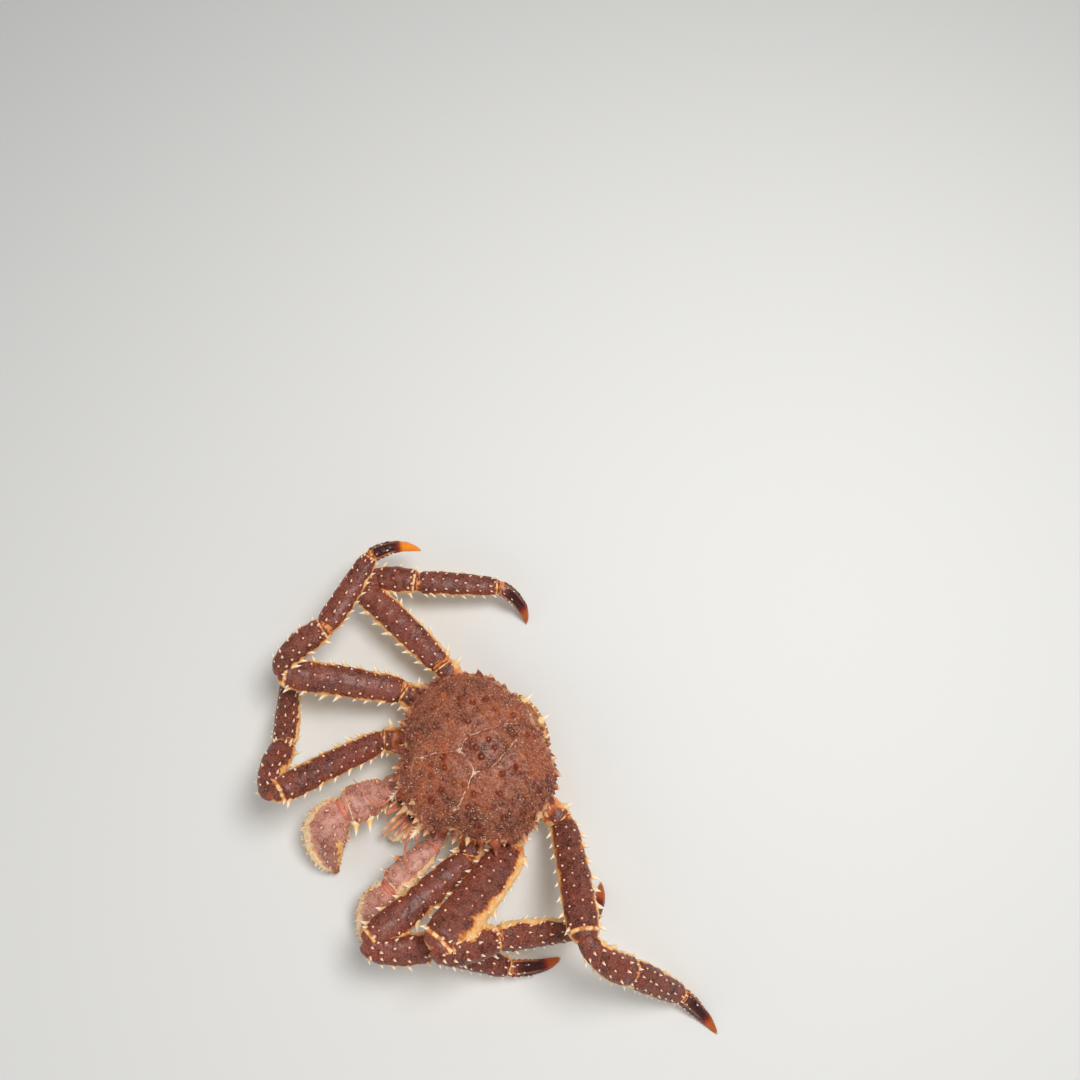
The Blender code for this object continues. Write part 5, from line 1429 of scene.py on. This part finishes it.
# What the looks of the soft joint skins share, and those of the claws
SOFT = {"rough": 0.4, "bump": 0.5, "relief": 1400.0}
CLAWS = {"tip_from": (0.3, 0.75), "mottle": 60.0}
LOOKS = {
    "shell": {"dark": (0.078, 0.011, 0.005), "light": (0.238, 0.048, 0.020), "cloud": (0.325, 0.098, 0.048),
              "fleck": (0.58, 0.24, 0.13), "fleck_share": 0.42, "ring": (0.15, 0.012, 0.005),
              "ring_share": 0.8, "halo": 0.22, "spine": (0.46, 0.11, 0.045),
              # tip: the pale point of the back's spines, partly a real pale tip and partly a painted
              # highlight
              "ring_spine": (0.15, 0.012, 0.005), "grain": (0.94, 0.64, 0.42), "tip": (0.90, 0.58, 0.36),
              "tip_from": (0.5, 0.95), "spine_from": (0.15, 0.9), "mottle": 24.0, "grain_share": 0.9,
              "line": (0.94, 0.68, 0.48), "edge": (0.86, 0.56, 0.26), "edge_two": (0.58, 0.24, 0.10),
              "edge_spine": (0.84, 0.56, 0.28), "belly": (0.90, 0.66, 0.38)},
    "tail": {"dark": (0.12, 0.018, 0.007), "light": (0.30, 0.085, 0.032), "cloud": (0.42, 0.17, 0.07),
             "fleck": (0.56, 0.30, 0.13), "edge": (0.88, 0.52, 0.19), "edge_two": (0.60, 0.22, 0.05),
             "mottle": 40.0, "belly": (0.90, 0.64, 0.34)},
    "limb": {},
    # The propodus: the limb's colours made a little darker, painted shade
    "far_limb_painted_shade": {"dark": (0.050, 0.005, 0.003), "light": (0.136, 0.018, 0.010),
                 "cloud": (0.210, 0.048, 0.028)},
    "claw": {"dark": (0.31, 0.075, 0.056), "light": (0.54, 0.23, 0.185), "cloud": (0.68, 0.30, 0.20),
             "fleck": (0.86, 0.56, 0.42), "fleck_share": 0.42, "edge": (0.96, 0.78, 0.46),
             "edge_two": (0.80, 0.36, 0.18), "belly": (0.98, 0.87, 0.60), "horn": (0.34, 0.12, 0.04),
             "joint": (0.70, 0.20, 0.06), "pale_ring": (0.90, 0.56, 0.28), **CLAWS},
    "finger": {"dark": (0.21, 0.056, 0.040), "light": (0.40, 0.165, 0.125), "cloud": (0.56, 0.25, 0.17),
               "edge": (0.90, 0.58, 0.22), "edge_two": (0.80, 0.34, 0.10), "joint": (0.50, 0.15, 0.05),
               "horn": (0.20, 0.06, 0.022), **CLAWS},
    "tip": {"dark": (0.10, 0.010, 0.006), "light": (0.16, 0.02, 0.012), "cloud": (0.2, 0.03, 0.018),
            "far": (0.040, 0.004, 0.003), "far_red": (0.23, 0.013, 0.005), "far_amber": (0.90, 0.25, 0.012),
            "far_point": (0.62, 0.34, 0.14), "rough": 0.24, "coat": 0.3, "bump": 0.12,
            "edge": (0.70, 0.30, 0.15), "edge_two": (0.42, 0.10, 0.035), "joint": (0.5, 0.1, 0.03)},
    "underside": {"edge": (0.90, 0.62, 0.30), "edge_two": (0.80, 0.36, 0.11), "joint": (0.74, 0.18, 0.02),
                  "dark": (0.20, 0.026, 0.010), "light": (0.40, 0.09, 0.03), "cloud": (0.60, 0.20, 0.07),
                  "mottle": 60.0},
    "skin": {"dark": (0.24, 0.030, 0.014), "light": (0.42, 0.10, 0.05), "cloud": (0.58, 0.2, 0.1),
             "joint": (0.74, 0.17, 0.02), **SOFT},
    "claw_skin": {"joint": (0.64, 0.14, 0.095), "edge": (0.92, 0.62, 0.42), "edge_two": (0.76, 0.24, 0.16),
                  **SOFT},
    "feeler": {"dark": (0.55, 0.13, 0.08), "light": (0.68, 0.24, 0.15), "cloud": (0.6, 0.18, 0.13),
               "fleck": (0.75, 0.36, 0.22), "edge": (0.88, 0.62, 0.32), "edge_two": (0.78, 0.30, 0.12),
               "mottle": 120.0, "bump": 0.2},
    "mouth": {"dark": (0.70, 0.14, 0.08), "light": (0.86, 0.36, 0.18), "cloud": (0.80, 0.20, 0.12),
              "fleck": (0.92, 0.5, 0.3), "edge": (0.98, 0.82, 0.50), "edge_two": (0.90, 0.36, 0.14),
              "tip": (0.92, 0.72, 0.5), "spine": (0.80, 0.42, 0.26), "mottle": 150.0, "bump": 0.2},
}


def eye_finish():
    """A wet black eye."""
    made = bpy.data.materials.new("eye")
    made.use_nodes = True
    tree = made.node_tree
    shader = tree.nodes["Principled BSDF"]
    place = put(tree, "ShaderNodeTexCoord").outputs["Object"]
    cells = put(tree, "ShaderNodeTexVoronoi", {"Vector": place, "Scale": 4200.0})
    colour = mixed(tree, cells.outputs["Distance"], (0.02, 0.012, 0.01), (0.05, 0.03, 0.02))
    tree.links.new(colour, shader.inputs["Base Color"])
    inputs = {"Strength": 0.15, "Distance": 0.0002, "Height": cells.outputs["Distance"]}
    bump = put(tree, "ShaderNodeBump", inputs)
    tree.links.new(bump.outputs[0], shader.inputs["Normal"])
    shader.inputs["Roughness"].default_value = 0.12
    return made


def make_stage():
    """A pale floor, soft lights and the camera."""
    mesh = bpy.data.meshes.new("floor")
    half = 4.0
    corners = [(-half, -half, 0), (half, -half, 0), (half, half, 0), (-half, half, 0)]
    mesh.from_pydata(corners, [], [(0, 1, 2, 3)])
    floor = added("floor", mesh)
    finish = bpy.data.materials.new("floor")
    finish.use_nodes = True
    shader = finish.node_tree.nodes["Principled BSDF"]
    shader.inputs["Base Color"].default_value = (0.74, 0.73, 0.70, 1)
    shader.inputs["Roughness"].default_value = 0.75
    mesh.materials.append(finish)
    for name, at, size, power in LIGHTS:
        lamp = bpy.data.lights.new(name, "AREA")
        lamp.size = size
        lamp.energy = power
        light = added(name, lamp)
        light.location = at
        aim = -light.location
        light.rotation_euler = aim.to_track_quat("-Z", "Y").to_euler()
    world = bpy.data.worlds.new("studio")
    world.use_nodes = True
    sky = world.node_tree.nodes["Background"]
    sky.inputs["Color"].default_value = (0.95, 0.97, 1.0, 1)
    sky.inputs["Strength"].default_value = SKY_STRENGTH
    bpy.context.scene.world = world
    bpy.context.scene.view_settings.view_transform = "Standard"
    lens = bpy.data.cameras.new("camera")
    lens.sensor_width = SENSOR
    lens.lens = PHOTO_FOCAL / PHOTO_SIDE * SENSOR
    lens.clip_start = 0.01
    camera = added("camera", lens)
    camera.location = [v * MM for v in CAMERA_AT]
    camera.rotation_euler = (math.radians(CAMERA_TILT), 0, math.radians(CAMERA_TURN))
    bpy.context.scene.camera = camera


def main():
    """Makes every piece with its finish and the stage."""
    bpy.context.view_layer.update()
    finishes = {name: shell_finish(name, {**BASE_LOOK, **look}) for name, look in LOOKS.items()}
    finishes["eye"] = eye_finish()
    make_shell(finishes["shell"])
    make_thorax(finishes["underside"])
    make_flap(finishes["underside"])
    make_tail(finishes["tail"])
    for name in LEG_POSES:
        make_leg(name, finishes)
    for side in ("right", "left"):
        make_claw(side, finishes)
        make_eye(side, finishes)
        make_feelers(side, finishes["feeler"])
        make_jaw_foot(side, finishes["mouth"])
    make_mouth(finishes["mouth"])
    make_face(finishes["underside"])
    make_stage()
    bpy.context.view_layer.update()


main()
